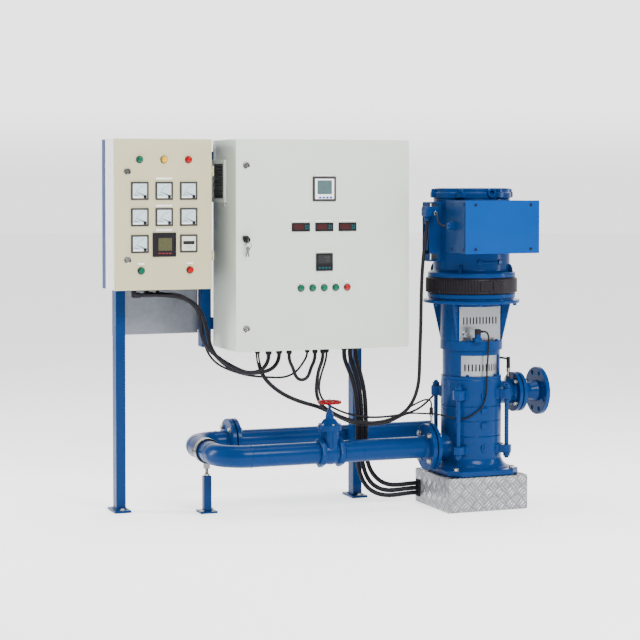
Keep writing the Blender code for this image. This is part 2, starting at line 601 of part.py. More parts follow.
def make_pump(blue, plate_finish, steel, box_blue, black, sensor_finish):
    at = (PUMP_X, PUMP_Y, 0.0)
    pump = pivot("pump", at)
    here = (0.0, 0.0, 0.0)
    piece("plinth", plate_finish,
          [block((-PLINTH_WIDTH / 2, -PLINTH_DEPTH / 2, 0.0),
                 (PLINTH_WIDTH / 2, PLINTH_DEPTH / 2, PLINTH_HEIGHT))], at=here, parent=pump)

    base = PLINTH_HEIGHT + GAP
    foot = block((-0.160, -0.160, base), (0.160, 0.160, 0.165), chamfer=0.045)
    cone = turned([(0, 0.155), (0.158, 0.155), (0.158, 0.166), (0.144, 0.172), (0.132, 0.185),
                   (BARREL_RADIUS, 0.202), (BARREL_RADIUS, FOOT_CASING_TOP), (0, FOOT_CASING_TOP)], 32)
    bolts = together(*(rod((x, y, 0.160), (x, y, 0.178), 0.0095, 6)
                       for x in (-0.126, 0.126) for y in (-0.126, 0.126)))
    neck = rod((-0.100, 0, SUCTION_Z), (-0.180, 0, SUCTION_Z), 0.052, 24)
    disc, heads = flange(-0.190, -0.172, PIPE_FLANGE_RADIUS, SUCTION_Z, 4, 0.073, 0.0095, 1)
    plug = rod((0, -0.118, SUCTION_Z), (0, -0.131, SUCTION_Z), 0.014, 12)
    seat = block((-0.188, -0.010, SUCTION_Z + 0.085), (-0.1745, 0.010, 0.3495))
    piece("pump_foot_casing", blue, [foot, cone, bolts, neck, disc, heads, plug, seat, lugs(0.228, 0.261)],
          [rod_holes(0.20, 0.28), stage_room(FOOT_CASING_TOP + SKIM, STAGE_TOP)], at=here, parent=pump)

    groove = 0.002
    stage = turned([(0, FOOT_CASING_TOP + GAP), (BARREL_RADIUS - groove, FOOT_CASING_TOP + GAP),
                    (BARREL_RADIUS, FOOT_CASING_TOP + groove), (BARREL_RADIUS, STAGE_JOINT_Z - groove),
                    (BARREL_RADIUS - groove, STAGE_JOINT_Z), (BARREL_RADIUS, STAGE_JOINT_Z + groove),
                    (BARREL_RADIUS, STAGE_TOP - groove), (BARREL_RADIUS - groove, STAGE_TOP), (0, STAGE_TOP)], 32)
    bosses = together(*(block((-0.011, min(side * 0.110, side * 0.130), z - 0.011),
                              (0.011, max(side * 0.110, side * 0.130), z + 0.011))
                        for side in (-1, 1) for z in (0.345, 0.405)))
    piece("pump_stage_casing", blue, [stage, bosses], at=here, parent=pump)

    barrel = turned([(0, STAGE_TOP + GAP), (BARREL_RADIUS - groove, STAGE_TOP + GAP),
                     (BARREL_RADIUS, STAGE_TOP + groove), (BARREL_RADIUS, BARREL_TOP), (0, BARREL_TOP)], 32)
    neck = rod((0.100, 0, DISCHARGE_Z), (0.195, 0, DISCHARGE_Z), 0.048, 24)
    disc, heads = flange(0.187, 0.205, 0.0825, DISCHARGE_Z, 4, 0.063, 0.0085, -1)
    plug = rod((0, -0.118, DISCHARGE_Z), (0, -0.131, DISCHARGE_Z), 0.014, 12)
    seat = rod((0.172, 0, DISCHARGE_Z + 0.040), (0.172, 0, 0.5195), 0.010, 12)
    piece("pump_discharge_casing", blue, [barrel, neck, disc, heads, plug, seat, lugs(0.452, 0.492)],
          [rod_holes(0.44, 0.50), stage_room(FOOT_CASING_TOP, STAGE_TOP + GAP - SKIM)], at=here, parent=pump)

    for number, (x, y) in enumerate(((-1, -1), (1, -1), (1, 1), (-1, 1)), start=1):
        place = (x * ROD_OFFSET, y * ROD_OFFSET, 0.0)
        bar = rod((0, 0, 0.206), (0, 0, 0.515), ROD_RADIUS, 12)
        nuts = [rod((0, 0, low), (0, 0, high), 0.0145, 6)
                for low, high in ((0.212, 0.228 - GAP), (0.492 + GAP, 0.508))]
        piece(f"tie_rod_{number}", blue, [bar] + nuts, at=place, parent=pump)

    low, high = BARREL_TOP + GAP, BRACKET_TOP
    core = turned([(0, low), (0.119, low), (0.119, high), (0, high)], 32)
    windows = [sector(0.110, 0.140, BARREL_TOP - 0.01, 0.632, side, WINDOW_HALF_DEG) for side in (-90.0, 90.0)]
    piece("bearing_bracket", blue, [core], windows, at=here, parent=pump)
    for name, side in (("shaft_guard_front", -90.0), ("shaft_guard_back", 90.0)):
        piece(name, steel, [sector(0.1105, 0.1130, low + 0.0003, 0.6315, side, WINDOW_HALF_DEG - 0.4)],
              at=here, parent=pump)

    low = BRACKET_TOP + GAP
    body = turned([(0, low), (0.129, low), (0.129, 0.845), (0.199, 0.845), (0.199, 0.858), (0.176, 0.858),
                   (0.176, 0.866), (0.1815, 0.866), (0.1815, LANTERN_TOP), (0, LANTERN_TOP)], 36)
    ribs = together(*(upright_rib(side + turn) for side in (-90.0, 90.0)
                      for turn in (-RIB_DEG, RIB_DEG)))
    windows = [sector(0.118, 0.150, 0.690, 0.832, side, WINDOW_HALF_DEG) for side in (-90.0, 90.0)]
    piece("motor_lantern", blue, [body, ribs], windows, at=here, parent=pump)
    for name, side in (("lantern_guard_front", -90.0), ("lantern_guard_back", 90.0)):
        piece(name, steel, [sector(0.1185, 0.1205, 0.6905, 0.8315, side, WINDOW_HALF_DEG - 0.4)],
              at=here, parent=pump)

    low = LANTERN_TOP + GAP
    piece("motor_cooling_ring", black,
          [turned([(0, low), (0.182, low), (0.1905, low + 0.010), (0.1905, COOLING_RING_TOP - 0.010),
                   (0.182, COOLING_RING_TOP), (0, COOLING_RING_TOP)], 36)], at=here, parent=pump)

    low = COOLING_RING_TOP + GAP
    frame = turned([(0, low), (0.1815, low), (0.1815, 0.970), (0.176, MOTOR_FLANGE_TOP),
                    (MOTOR_RADIUS, MOTOR_FLANGE_TOP), (MOTOR_RADIUS, MOTOR_TOP), (0, MOTOR_TOP)], 36)
    gussets = ring_of(lambda: block((0.150, -0.005, 0.970), (0.174, 0.005, 1.005)), 6, 15.0)
    piece("motor_body", blue, [frame, gussets], at=here, parent=pump)

    low = MOTOR_TOP + GAP
    cap = turned([(0, low), (0.161, low), (0.161, CAP_TOP - 0.006), (0.155, CAP_TOP), (0, CAP_TOP)], 36)
    ears = ring_of(lambda: block((0.150, -0.024, low + 0.004), (0.173, 0.024, low + 0.030), chamfer=0.008), 6, 15.0)
    piece("motor_end_cap", blue, [cap, ears], at=here, parent=pump)

    web = block((-0.208, -0.035, 1.018), (-0.150, 0.035, 1.262))
    slots = together(block((-0.203, -0.05, 1.024), (-0.168, 0.05, 1.050)),
                     block((-0.203, -0.05, 1.232), (-0.168, 0.05, 1.256)))
    junction = block((-0.242, -0.087, 1.204), (-0.190, -0.030, 1.240), chamfer=0.006)
    motor_gland = rod((-0.229, -0.0605, 1.206), (-0.229, -0.0605, 1.187), 0.011, 12)
    jumper_gland = rod((-0.212, -0.080, 1.217), (-0.212, -0.105, 1.217), 0.009, 12)
    piece("motor_foot_bracket", blue, [web, junction, motor_gland, jumper_gland],
          [slots, rod((0, 0, 1.0), (0, 0, 1.3), MOTOR_RADIUS + 0.0005, 48)], at=here, parent=pump)

    box = block(*TERMINAL_BOX)
    entry = rod((-0.160, -0.184, 1.167), (-0.200, -0.184, 1.167), 0.0125, 12)
    cover_screws = together(*(rod((x, -0.289, z), (x, -0.2920, z), 0.005, 8)
                              for x in (-0.135, 0.135) for z in (1.073, 1.254)))
    piece("terminal_box", box_blue, [box, entry, cover_screws],
          [rod((0, 0, 1.0), (0, 0, 1.3), MOTOR_RADIUS + 0.0005, 48)], at=here, parent=pump)

    for name, x, foot_z, top_z in (("suction_sensor", -0.181, 0.3495, 0.414),
                                   ("discharge_sensor", 0.172, 0.5195, 0.612)):
        low = foot_z + GAP
        shape = turned([(0, low), (0.0075, low), (0.0075, low + 0.010), (0.0050, low + 0.012),
                        (0.0050, low + 0.026), (0.0085, low + 0.028), (0.0085, top_z), (0, top_z)], 12,
                       base=(x, 0, 0))
        shapes = [shape]
        if x > 0:
            shapes.append(rod((x, 0.002, top_z - 0.0095), (x, 0.018, top_z - 0.0095), 0.005, 12))
        piece(name, sensor_finish, shapes, at=here, parent=pump)
    foot = block((-0.052, -0.150, 0.6905), (-0.022, -0.1190, 0.708))
    head = block((-0.046, -0.149, 0.700), (-0.026, -0.127, 0.744))
    outlet = rod((-0.030, -0.138, 0.733), (-0.012, -0.138, 0.733), 0.005, 12)
    piece("lantern_sensor", sensor_finish, [foot, head, outlet],
          [rod((0, 0, 0.6), (0, 0, 0.8), 0.1212, 48)], at=here, parent=pump)


# Pipework

def make_pipework(blue, red, steel):
    pipes = pivot("pipework", (0.0, 0.0, 0.0))
    z = SUCTION_Z
    front = (0.0, FRONT_PIPE_Y, 0.0)
    face = SUCTION_FACE_X - GAP
    valve_right = VALVE_X + VALVE_HALF
    disc, heads = flange(face - FLANGE_THICKNESS, face, PIPE_FLANGE_RADIUS, z, 4, 0.073, 0.0095, -1)
    run = rod((valve_right + GAP, 0, z), (face - 0.010, 0, z), PIPE_RADIUS, 24)
    piece("pump_end_pipe", blue, [run, disc, heads], at=front, parent=pipes)

    left, right = VALVE_X - VALVE_HALF, valve_right
    collars = [rod((left, 0, z), (left + VALVE_COLLAR, 0, z), 0.060, 8),
               rod((right - VALVE_COLLAR, 0, z), (right, 0, z), 0.060, 8)]
    run = rod((left + 0.002, 0, z), (right - 0.002, 0, z), 0.047, 24)
    body = block((VALVE_X - 0.026, -0.046, z), (VALVE_X + 0.026, 0.046, 0.343), chamfer=0.012)
    bonnet = turned([(0, 0.341), (0.048, 0.341), (0.048, 0.364), (0.036, 0.370), (0.026, 0.384), (0.017, 0.389),
                     (0.017, 0.408), (0.011, 0.412), (0.011, 0.424), (0.006, 0.426), (0.006, 0.4435), (0, 0.4435)],
                    20, base=(VALVE_X, 0, 0))
    piece("gate_valve", blue, [run] + collars + [body, bonnet], at=front, parent=pipes)

    wheel = pivot("handwheel_axis", (VALVE_X, FRONT_PIPE_Y, HANDWHEEL_Z))
    rim = bmesh.new()
    bmesh.ops.create_circle(rim, cap_ends=True, segments=8, radius=0.0055)
    bmesh.ops.rotate(rim, cent=(0, 0, 0), matrix=Matrix.Rotation(math.radians(90), 3, "X"), verts=rim.verts)
    bmesh.ops.translate(rim, vec=(HANDWHEEL_RADIUS - 0.0055, 0, 0.0055), verts=rim.verts)
    bmesh.ops.delete(rim, geom=rim.faces[:], context="FACES_ONLY")
    bmesh.ops.spin(rim, geom=rim.verts[:] + rim.edges[:], cent=(0, 0, 0), axis=(0, 0, 1),
                   angle=math.tau, steps=24, use_merge=True)
    hub = turned([(0, -0.0050), (0.010, -0.0050), (0.011, 0.010), (0.007, 0.014), (0, 0.014)], 16)
    spokes = ring_of(lambda: block((0.006, -0.004, 0.001), (HANDWHEEL_RADIUS - 0.005, 0.004, 0.0085)), 4, 20.0)
    piece("valve_handwheel", red, [hub, spokes, rim], parent=wheel)

    elbow_x = CROSS_PIPE_X + BEND_RADIUS
    elbow_y = FRONT_PIPE_Y + BEND_RADIUS
    piece("front_pipe", blue,
          [pipe_run((left - GAP, FRONT_PIPE_Y, z), (elbow_x, elbow_y, z), 270.0, 180.0,
                    (CROSS_PIPE_X, elbow_y + 0.020, z), PIPE_RADIUS)], parent=pipes)
    back_y = BACK_PIPE_Y - BEND_RADIUS
    disc, heads = flange(BACK_FLANGE_X - FLANGE_THICKNESS, BACK_FLANGE_X, PIPE_FLANGE_RADIUS, z, 4, 0.073,
                         0.0095, -1)
    for shape in (disc, heads):
        bmesh.ops.translate(shape, vec=(0, BACK_PIPE_Y, 0), verts=shape.verts)
    piece("cross_pipe", blue,
          [pipe_run((CROSS_PIPE_X, elbow_y + 0.020 + GAP, z), (elbow_x, back_y, z), 180.0, 90.0,
                    (BACK_FLANGE_X - 0.010, BACK_PIPE_Y, z), PIPE_RADIUS), disc, heads], parent=pipes)
    face = BACK_FLANGE_X + GAP
    disc, heads = flange(face, face + FLANGE_THICKNESS, PIPE_FLANGE_RADIUS, z, 4, 0.073, 0.0095, 1)
    run = rod((face + 0.010, 0, z), (BACK_PIPE_END_X, 0, z), PIPE_RADIUS, 24)
    bore = rod((BACK_PIPE_END_X - 0.080, 0, z), (BACK_PIPE_END_X + 0.010, 0, z), PIPE_BORE_RADIUS, 24)
    piece("back_pipe", blue, [run, disc, heads], [bore], at=(0.0, BACK_PIPE_Y, 0.0), parent=pipes)

    band = rod((0, -0.016, 0), (0, 0.016, 0), 0.0525, 24)
    ears = together(*(block((min(side * 0.048, side * 0.072), -0.012, -0.0025),
                            (max(side * 0.048, side * 0.072), 0.012, 0.0025)) for side in (-1, 1)))
    nut = block((-0.016, -0.014, -0.072), (0.016, 0.014, -0.050))
    piece("pipe_clamp", steel, [band, ears, nut],
          [rod((0, -0.03, 0), (0, 0.03, 0), PIPE_RADIUS + 0.0006, 24)],
          at=(CROSS_PIPE_X, SUPPORT_Y, z), parent=pipes)
    stem_top = z - 0.072 - GAP
    column = block((-0.016, -0.016, 0.004), (0.016, 0.016, 0.150))
    foot = block((-0.036, -0.036, 0.0), (0.036, 0.036, 0.008))
    stem = rod((0, 0, 0.145), (0, 0, stem_top), 0.007, 12)
    lock_nut = rod((0, 0, 0.149), (0, 0, 0.159), 0.012, 6)
    bolts = together(*(rod((side * 0.026, side * 0.022, 0.004), (side * 0.026, side * 0.022, 0.015), 0.007, 6)
                       for side in (-1, 1)))
    piece("pipe_support", blue, [column, foot, stem, lock_nut, bolts],
          at=(CROSS_PIPE_X, SUPPORT_Y, 0.0), parent=pipes)

    z = DISCHARGE_Z
    face = DISCHARGE_FACE_X + GAP
    disc, heads = flange(face, face + 0.019, 0.0825, z, 4, 0.063, 0.0085, 1)
    neck = turned([(0, 0), (0.040, 0), (0.034, 0.030), (0.034, 0.062), (0.0445, 0.080), (0.0445, 0.100), (0, 0.100)],
                  24, base=(face + 0.010, 0, z), axis=(1, 0, 0))
    outlet = rod((OUTLET_FACE_X - 0.020, 0, z), (OUTLET_FACE_X, 0, z), 0.100, 32)
    holes = [rod((OUTLET_FACE_X - 0.040, 0.080 * math.cos(angle), z + 0.080 * math.sin(angle)),
                 (OUTLET_FACE_X + 0.020, 0.080 * math.cos(angle), z + 0.080 * math.sin(angle)), 0.009, 10)
             for angle in (math.tau * (index + 0.5) / 8 for index in range(8))]
    bore = rod((OUTLET_FACE_X - 0.060, 0, z), (OUTLET_FACE_X + 0.010, 0, z), 0.033, 24)
    piece("discharge_adapter", blue, [disc, neck, outlet, heads], [together(*holes), bore],
          at=(0.0, PUMP_Y, 0.0), parent=pipes)


# Cables, by the points that each one passes

def make_cables(black):
    for name, (diameter, route) in CABLE_ROUTES.items():
        cable(name, black, route, diameter)


CABLE_ROUTES = {
    "panel_cable_1": (PANEL_CABLE, (
        (-0.7847, 0.050, 0.893), (-0.745, 0.050, 0.893), (-0.700, 0.050, 0.891), (-0.640, 0.052, 0.884),
        (-0.588, 0.056, 0.866), (-0.551, 0.060, 0.831), (-0.535, 0.064, 0.782), (-0.529, 0.067, 0.735),
        (-0.514, 0.066, 0.690), (-0.480, 0.062, 0.650), (-0.431, 0.053, 0.612), (-0.389, 0.043, 0.588),
        (-0.352, 0.037, 0.572), (-0.3205, 0.0345, 0.569), (-0.2945, 0.034, 0.5742),
        (-0.2724, 0.034, 0.5889), (-0.2577, 0.034, 0.611), (-0.2531, 0.034, 0.630),
        (-0.2525, 0.034, 0.6406))),
    "panel_cable_2": (PANEL_CABLE, (
        (-0.7247, 0.080, 0.893), (-0.690, 0.080, 0.893), (-0.645, 0.080, 0.889), (-0.595, 0.082, 0.875),
        (-0.548, 0.084, 0.846), (-0.516, 0.086, 0.800), (-0.499, 0.088, 0.742), (-0.484, 0.090, 0.682),
        (-0.457, 0.090, 0.634), (-0.421, 0.084, 0.600), (-0.380, 0.078, 0.577), (-0.333, 0.071, 0.5645),
        (-0.296, 0.067, 0.563), (-0.2652, 0.064, 0.5665), (-0.2392, 0.062, 0.5742),
        (-0.2171, 0.062, 0.5889), (-0.2024, 0.062, 0.611), (-0.1978, 0.062, 0.630),
        (-0.1972, 0.062, 0.6406))),
    "signal_cable": (SIGNAL_CABLE, (
        (-0.6697, 0.110, 0.893), (-0.640, 0.110, 0.893), (-0.590, 0.110, 0.880), (-0.545, 0.110, 0.845),
        (-0.519, 0.110, 0.790), (-0.507, 0.111, 0.720), (-0.490, 0.112, 0.655), (-0.450, 0.112, 0.605),
        (-0.385, 0.111, 0.571), (-0.310, 0.110, 0.549), (-0.243, 0.108, 0.5405), (-0.202, 0.103, 0.5375),
        (-0.157, 0.095, 0.540), (-0.110, 0.086, 0.565), (-0.0855, 0.081, 0.597), (-0.0688, 0.080, 0.630),
        (-0.0676, 0.080, 0.6406))),
    "loop_cable": (LOOP_CABLE, (
        (-0.1652, 0.030, 0.6412), (-0.1651, 0.030, 0.629), (-0.160, 0.030, 0.605), (-0.149, 0.030, 0.582),
        (-0.1425, 0.030, 0.564), (-0.1355, 0.030, 0.5475), (-0.1245, 0.030, 0.536),
        (-0.1085, 0.030, 0.5315), (-0.0925, 0.030, 0.536), (-0.0815, 0.030, 0.5475),
        (-0.0745, 0.030, 0.564), (-0.068, 0.030, 0.582), (-0.057, 0.030, 0.605), (-0.0522, 0.030, 0.629),
        (-0.0521, 0.030, 0.6412))),
    "motor_cable": (MOTOR_CABLE, (
        (-0.0212, 0.020, 0.6412), (-0.0214, 0.0198, 0.630), (-0.0265, 0.017, 0.607),
        (-0.0395, 0.010, 0.580), (-0.0552, 0.000, 0.5231), (-0.060, -0.010, 0.4803),
        (-0.050, -0.018, 0.443), (-0.020, -0.023, 0.413), (0.0245, -0.029, 0.387), (0.0796, -0.034, 0.365),
        (0.130, -0.038, 0.354), (0.185, -0.046, 0.351), (0.246, -0.066, 0.364), (0.300, -0.092, 0.398),
        (0.331, -0.112, 0.4521), (0.345, -0.124, 0.5159), (0.3474, -0.131, 0.6063), (0.349, -0.136, 0.720),
        (0.350, -0.140, 0.860), (0.351, -0.154, 1.015), (0.352, -0.176, 1.106), (0.353, -0.188, 1.155),
        (0.353, -0.190, 1.1867))),
    "suction_lead": (SENSOR_LEAD, (
        (-0.2759, 0.092, 0.6412), (-0.2758, 0.092, 0.631), (-0.271, 0.092, 0.6032),
        (-0.2611, 0.090, 0.5685), (-0.2466, 0.086, 0.5402), (-0.2171, 0.078, 0.5074),
        (-0.1789, 0.067, 0.4784), (-0.1327, 0.053, 0.4541), (-0.0822, 0.037, 0.4359),
        (-0.0394, 0.024, 0.4222), (0.0264, 0.008, 0.3898), (0.0788, -0.004, 0.3644),
        (0.1265, -0.014, 0.3504), (0.1784, -0.024, 0.348), (0.2482, -0.040, 0.358),
        (0.2897, -0.055, 0.3794), (0.320, -0.075, 0.407), (0.343, -0.096, 0.4265), (0.364, -0.115, 0.4405),
        (0.384, -0.127, 0.447), (0.3925, -0.129, 0.4447), (0.3987, -0.1295, 0.4385),
        (0.401, -0.1295, 0.429), (0.401, -0.1295, 0.4143))),
    "lantern_lead": (SENSOR_LEAD, (
        (-0.2851, 0.092, 0.6412), (-0.285, 0.092, 0.631), (-0.280, 0.092, 0.6012),
        (-0.2697, 0.090, 0.5651), (-0.254, 0.086, 0.5348), (-0.2233, 0.078, 0.5006),
        (-0.1839, 0.067, 0.4706), (-0.1365, 0.053, 0.4457), (-0.0852, 0.037, 0.4271),
        (-0.043, 0.024, 0.4138), (0.0224, 0.008, 0.3816), (0.0754, -0.004, 0.3558),
        (0.1251, -0.014, 0.3414), (0.179, -0.024, 0.3388), (0.2506, -0.040, 0.3492),
        (0.2939, -0.055, 0.3712), (0.318, -0.077, 0.385), (0.356, -0.122, 0.390), (0.402, -0.178, 0.391),
        (0.452, -0.218, 0.380), (0.490, -0.233, 0.374), (0.530, -0.256, 0.393), (0.566, -0.265, 0.424),
        (0.584, -0.267, 0.470), (0.588, -0.266, 0.536), (0.591, -0.268, 0.618), (0.594, -0.270, 0.670),
        (0.595, -0.268, 0.705), (0.589, -0.2675, 0.7265), (0.5795, -0.2675, 0.7325),
        (0.5705, -0.2675, 0.733))),
    "discharge_lead": (DISCHARGE_LEAD, (
        (0.006, 0.048, 0.6412), (0.0058, 0.048, 0.630), (0.0005, 0.046, 0.605), (-0.016, 0.038, 0.565),
        (-0.033, 0.026, 0.520), (-0.037, 0.018, 0.484), (-0.027, 0.012, 0.453), (0.003, 0.009, 0.424),
        (0.048, 0.006, 0.400), (0.110, 0.002, 0.379), (0.180, -0.009, 0.369), (0.250, -0.020, 0.370),
        (0.320, -0.022, 0.377), (0.380, 0.000, 0.386), (0.450, 0.040, 0.410), (0.530, 0.062, 0.470),
        (0.610, 0.055, 0.532), (0.676, 0.022, 0.575), (0.724, -0.022, 0.597), (0.747, -0.066, 0.603),
        (0.754, -0.092, 0.6025), (0.754, -0.1112, 0.6025))),
    "plinth_cable_1": (PLINTH_CABLE, (
        (0.105, 0.100, 0.6412), (0.105, 0.100, 0.621), (0.1095, 0.0985, 0.596), (0.125, 0.094, 0.555),
        (0.1435, 0.086, 0.490), (0.153, 0.077, 0.400), (0.1535, 0.074, 0.290), (0.1535, 0.070, 0.195),
        (0.165, 0.060, 0.115), (0.198, 0.044, 0.060), (0.250, 0.026, 0.036), (0.320, 0.012, 0.036),
        (0.370, 0.008, 0.040), (0.4025, 0.008, 0.040))),
    "plinth_cable_2": (PLINTH_CABLE, (
        (0.131, 0.100, 0.6412), (0.131, 0.100, 0.621), (0.135, 0.0985, 0.596), (0.148, 0.094, 0.555),
        (0.1645, 0.086, 0.490), (0.1727, 0.077, 0.400), (0.1732, 0.074, 0.290), (0.1732, 0.070, 0.200),
        (0.184, 0.061, 0.130), (0.212, 0.046, 0.080), (0.257, 0.028, 0.0565), (0.320, 0.014, 0.0562),
        (0.370, 0.008, 0.060), (0.4025, 0.008, 0.060))),
    "plinth_cable_3": (PLINTH_CABLE, (
        (0.157, 0.100, 0.6412), (0.157, 0.100, 0.621), (0.1605, 0.0985, 0.596), (0.171, 0.094, 0.555),
        (0.1855, 0.086, 0.490), (0.1926, 0.077, 0.400), (0.1932, 0.074, 0.290), (0.1936, 0.070, 0.205),
        (0.203, 0.062, 0.152), (0.228, 0.050, 0.108), (0.268, 0.033, 0.0805), (0.320, 0.016, 0.0762),
        (0.370, 0.008, 0.080), (0.4025, 0.008, 0.080))),
    "terminal_jumper": (JUMPER_CABLE, (
        (0.370, -0.2348, 1.217), (0.3697, -0.245, 1.2167), (0.3665, -0.260, 1.211),
        (0.361, -0.2755, 1.1995), (0.356, -0.292, 1.1835), (0.3613, -0.3082, 1.1715),
        (0.372, -0.3133, 1.1675), (0.3815, -0.3135, 1.167))),
}


def main():
    clear_scene()
    blue = paint("blue_machine_enamel", (0.005, 0.065, 0.27), 0.35)
    box_blue = paint("blue_box_enamel", (0.013, 0.16, 0.45), 0.35)
    beige = paint("pebble_grey_powder_coat", (0.62, 0.60, 0.50), 0.5)
    grey = paint("light_grey_powder_coat", (0.65, 0.66, 0.61), 0.5)
    sheet = paint("galvanised_sheet", (0.45, 0.46, 0.48), 0.45, 0.9)
    chequer = paint("aluminium_tread_plate", (0.55, 0.55, 0.57), 0.4, 0.9)
    steel = paint("stainless_steel", (0.6, 0.6, 0.6), 0.35, 1.0)
    black = paint("black_plastic", (0.015, 0.014, 0.018), 0.5)
    rubber = paint("black_cable_sheath", (0.012, 0.012, 0.016), 0.55)
    red = paint("red_enamel", (0.52, 0.008, 0.014), 0.35)
    make_stand(blue, sheet)
    make_small_cabinet(beige, blue, black)
    make_main_cabinet(grey, sheet, black, black, black)
    make_pump(blue, chequer, steel, box_blue, black, black)
    make_pipework(blue, red, steel)
    make_cables(rubber)


main()
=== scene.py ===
"""Looks of a vertical multistage pump set with pipework and a two-cabinet control stand.

Metres, +Z up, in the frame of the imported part. The cabinets face -Y, and the pump stands at +X.
"""

import math

import bmesh
import bpy
import numpy as np
from mathutils import Matrix, Vector


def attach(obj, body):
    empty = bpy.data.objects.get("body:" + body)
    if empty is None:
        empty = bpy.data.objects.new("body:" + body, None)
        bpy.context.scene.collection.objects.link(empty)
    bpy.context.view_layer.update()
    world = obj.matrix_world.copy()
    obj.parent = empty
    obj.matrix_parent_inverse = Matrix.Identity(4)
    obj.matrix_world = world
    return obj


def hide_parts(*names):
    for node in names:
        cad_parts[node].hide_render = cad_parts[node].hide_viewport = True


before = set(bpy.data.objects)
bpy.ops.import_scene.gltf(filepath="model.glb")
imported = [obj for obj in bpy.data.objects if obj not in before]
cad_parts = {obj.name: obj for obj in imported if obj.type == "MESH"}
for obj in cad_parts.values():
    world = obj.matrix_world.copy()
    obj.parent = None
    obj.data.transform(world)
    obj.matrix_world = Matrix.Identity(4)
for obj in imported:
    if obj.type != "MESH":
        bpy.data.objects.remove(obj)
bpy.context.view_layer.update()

MM = 0.001
UP, DOWN = (0, 0, 1), (0, 0, -1)
RIGHT, LEFT = (1, 0, 0), (-1, 0, 0)
FRONT = (0, -1, 0)

# Places that the frame fixes
SMALL_DOOR_Y = 0.0065
MAIN_DOOR_Y = -0.0885
CABINET_TOP = 1.515
PUMP = Vector((0.582, -0.1295, 0.0))
PIPE_Z = 0.2515
OUTLET_Z = 0.465
FRONT_PIPE_Y = -0.1295
BACK_PIPE_Y = 0.3265
CROSS_PIPE_X = -0.501
SUPPORT_Y = 0.0865
VALVE_X = -0.049
WINDOW_HALF_DEG = 47.6
BEND = 0.114


slide = Matrix.Translation


def spin(degrees, axis="Z"):
    """A turn about one axis."""
    return Matrix.Rotation(math.radians(degrees), 4, axis)


def mm(text):
    """Points in metres, from text in millimetres."""
    return [tuple(round(float(part) * MM, 8) for part in point.split(",")) for point in text.split()]


def placed(name, data):
    """A new object in the scene."""
    thing = bpy.data.objects.new(name, data)
    bpy.context.scene.collection.objects.link(thing)
    return thing


# Finishes

def linear(code):
    """A #rrggbb colour in linear light."""
    parts = [int(code[start:start + 2], 16) / 255 for start in (1, 3, 5)]
    return tuple(part / 12.92 if part <= 0.04045 else ((part + 0.055) / 1.055) ** 2.4
                 for part in parts) + (1.0,)


def tint(code, factor):
    """The same colour, darker or lighter."""
    return tuple(min(1.0, part * factor) for part in linear(code)[:3]) + (1.0,)


def add(tree, kind, inputs, **settings):
    """A node with its settings and inputs filled in; returns its outputs."""
    made = tree.nodes.new(kind)
    for name, value in settings.items():
        setattr(made, name, value)
    for name, value in inputs.items():
        if isinstance(value, bpy.types.NodeSocket):
            tree.links.new(value, made.inputs[name])
        else:
            made.inputs[name].default_value = value
    return made.outputs


class Finish:
    """A Principled material whose patterns are sized in millimetres."""

    def __init__(self, name, colour, roughness, metallic=0.0, coat=0.0, coat_roughness=0.05, specular=0.5):
        self.material = bpy.data.materials.new(name)
        self.material.use_nodes = True
        self.tree = self.material.node_tree
        self.shader = self.tree.nodes["Principled BSDF"]
        self.colour = colour
        self.normal = None
        self.set(("Base Color", linear(colour)), ("Roughness", roughness), ("Metallic", metallic),
                 ("Coat Weight", coat), ("Coat Roughness", coat_roughness), ("Specular IOR Level", specular))
        self.coords = add(self.tree, "ShaderNodeTexCoord", {})["Object"]

    def set(self, *values):
        """Even values, straight on the shader's sockets."""
        for socket, value in values:
            self.shader.inputs[socket].default_value = value

    def grain(self, size_mm, detail=3.0, stretch=None, roughness=0.5):
        """A cloudy pattern with features of one size, drawn out along an axis by a stretch."""
        vector = self.coords
        if stretch:
            vector = add(self.tree, "ShaderNodeVectorMath", {0: vector, 1: stretch}, operation="MULTIPLY")[0]
        return add(self.tree, "ShaderNodeTexNoise", {"Vector": vector, "Scale": 1.0 / (size_mm * MM),
                                                     "Detail": detail, "Roughness": roughness})[0]

    def cells(self, size_mm):
        """A pattern of cells: its distance and its colour."""
        return add(self.tree, "ShaderNodeTexVoronoi", {"Vector": self.coords, "Scale": 1.0 / (size_mm * MM)},
                   feature="F1")

    def between(self, pattern, low, high, first=0.3, last=0.7):
        """A pattern mapped from one range of values to another."""
        return add(self.tree, "ShaderNodeMapRange", {0: pattern, 1: first, 2: last, 3: low, 4: high})[0]

    def roughen(self, pattern, low, high):
        """Let the gloss follow a pattern."""
        self.tree.links.new(self.between(pattern, low, high), self.shader.inputs["Roughness"])

    def mottle(self, pattern, dark, light, first=0.3, last=0.7):
        """Let the colour move between a darker and a lighter shade."""
        mixed = add(self.tree, "ShaderNodeMix", {0: self.between(pattern, 0.0, 1.0, first, last),
                                                 6: tint(self.colour, dark), 7: tint(self.colour, light)},
                    data_type="RGBA")[2]
        self.tree.links.new(mixed, self.shader.inputs["Base Color"])

    def emboss(self, pattern, depth_mm):
        """Raise the surface by a pattern; several stack up."""
        inputs = {"Height": pattern, "Distance": depth_mm * MM, "Strength": 1.0}
        if self.normal is not None:
            inputs["Normal"] = self.normal
        self.normal = add(self.tree, "ShaderNodeBump", inputs)[0]
        self.tree.links.new(self.normal, self.shader.inputs["Normal"])


def gloss_enamel(name, colour, cast_mm=0.0, roughness=(0.24, 0.36)):
    """Sprayed machine enamel: a wet gloss with orange peel, over smooth tube or rough casting."""
    finish = Finish(name, colour, 0.3, coat=0.08, coat_roughness=0.06, specular=0.06)
    finish.mottle(finish.grain(260, 2), 0.95, 1.05)
    finish.roughen(finish.grain(120, 2), *roughness)
    finish.emboss(finish.grain(5.0, 1), 0.006)
    if cast_mm:
        finish.emboss(finish.grain(14, 3), cast_mm)
    return finish.material


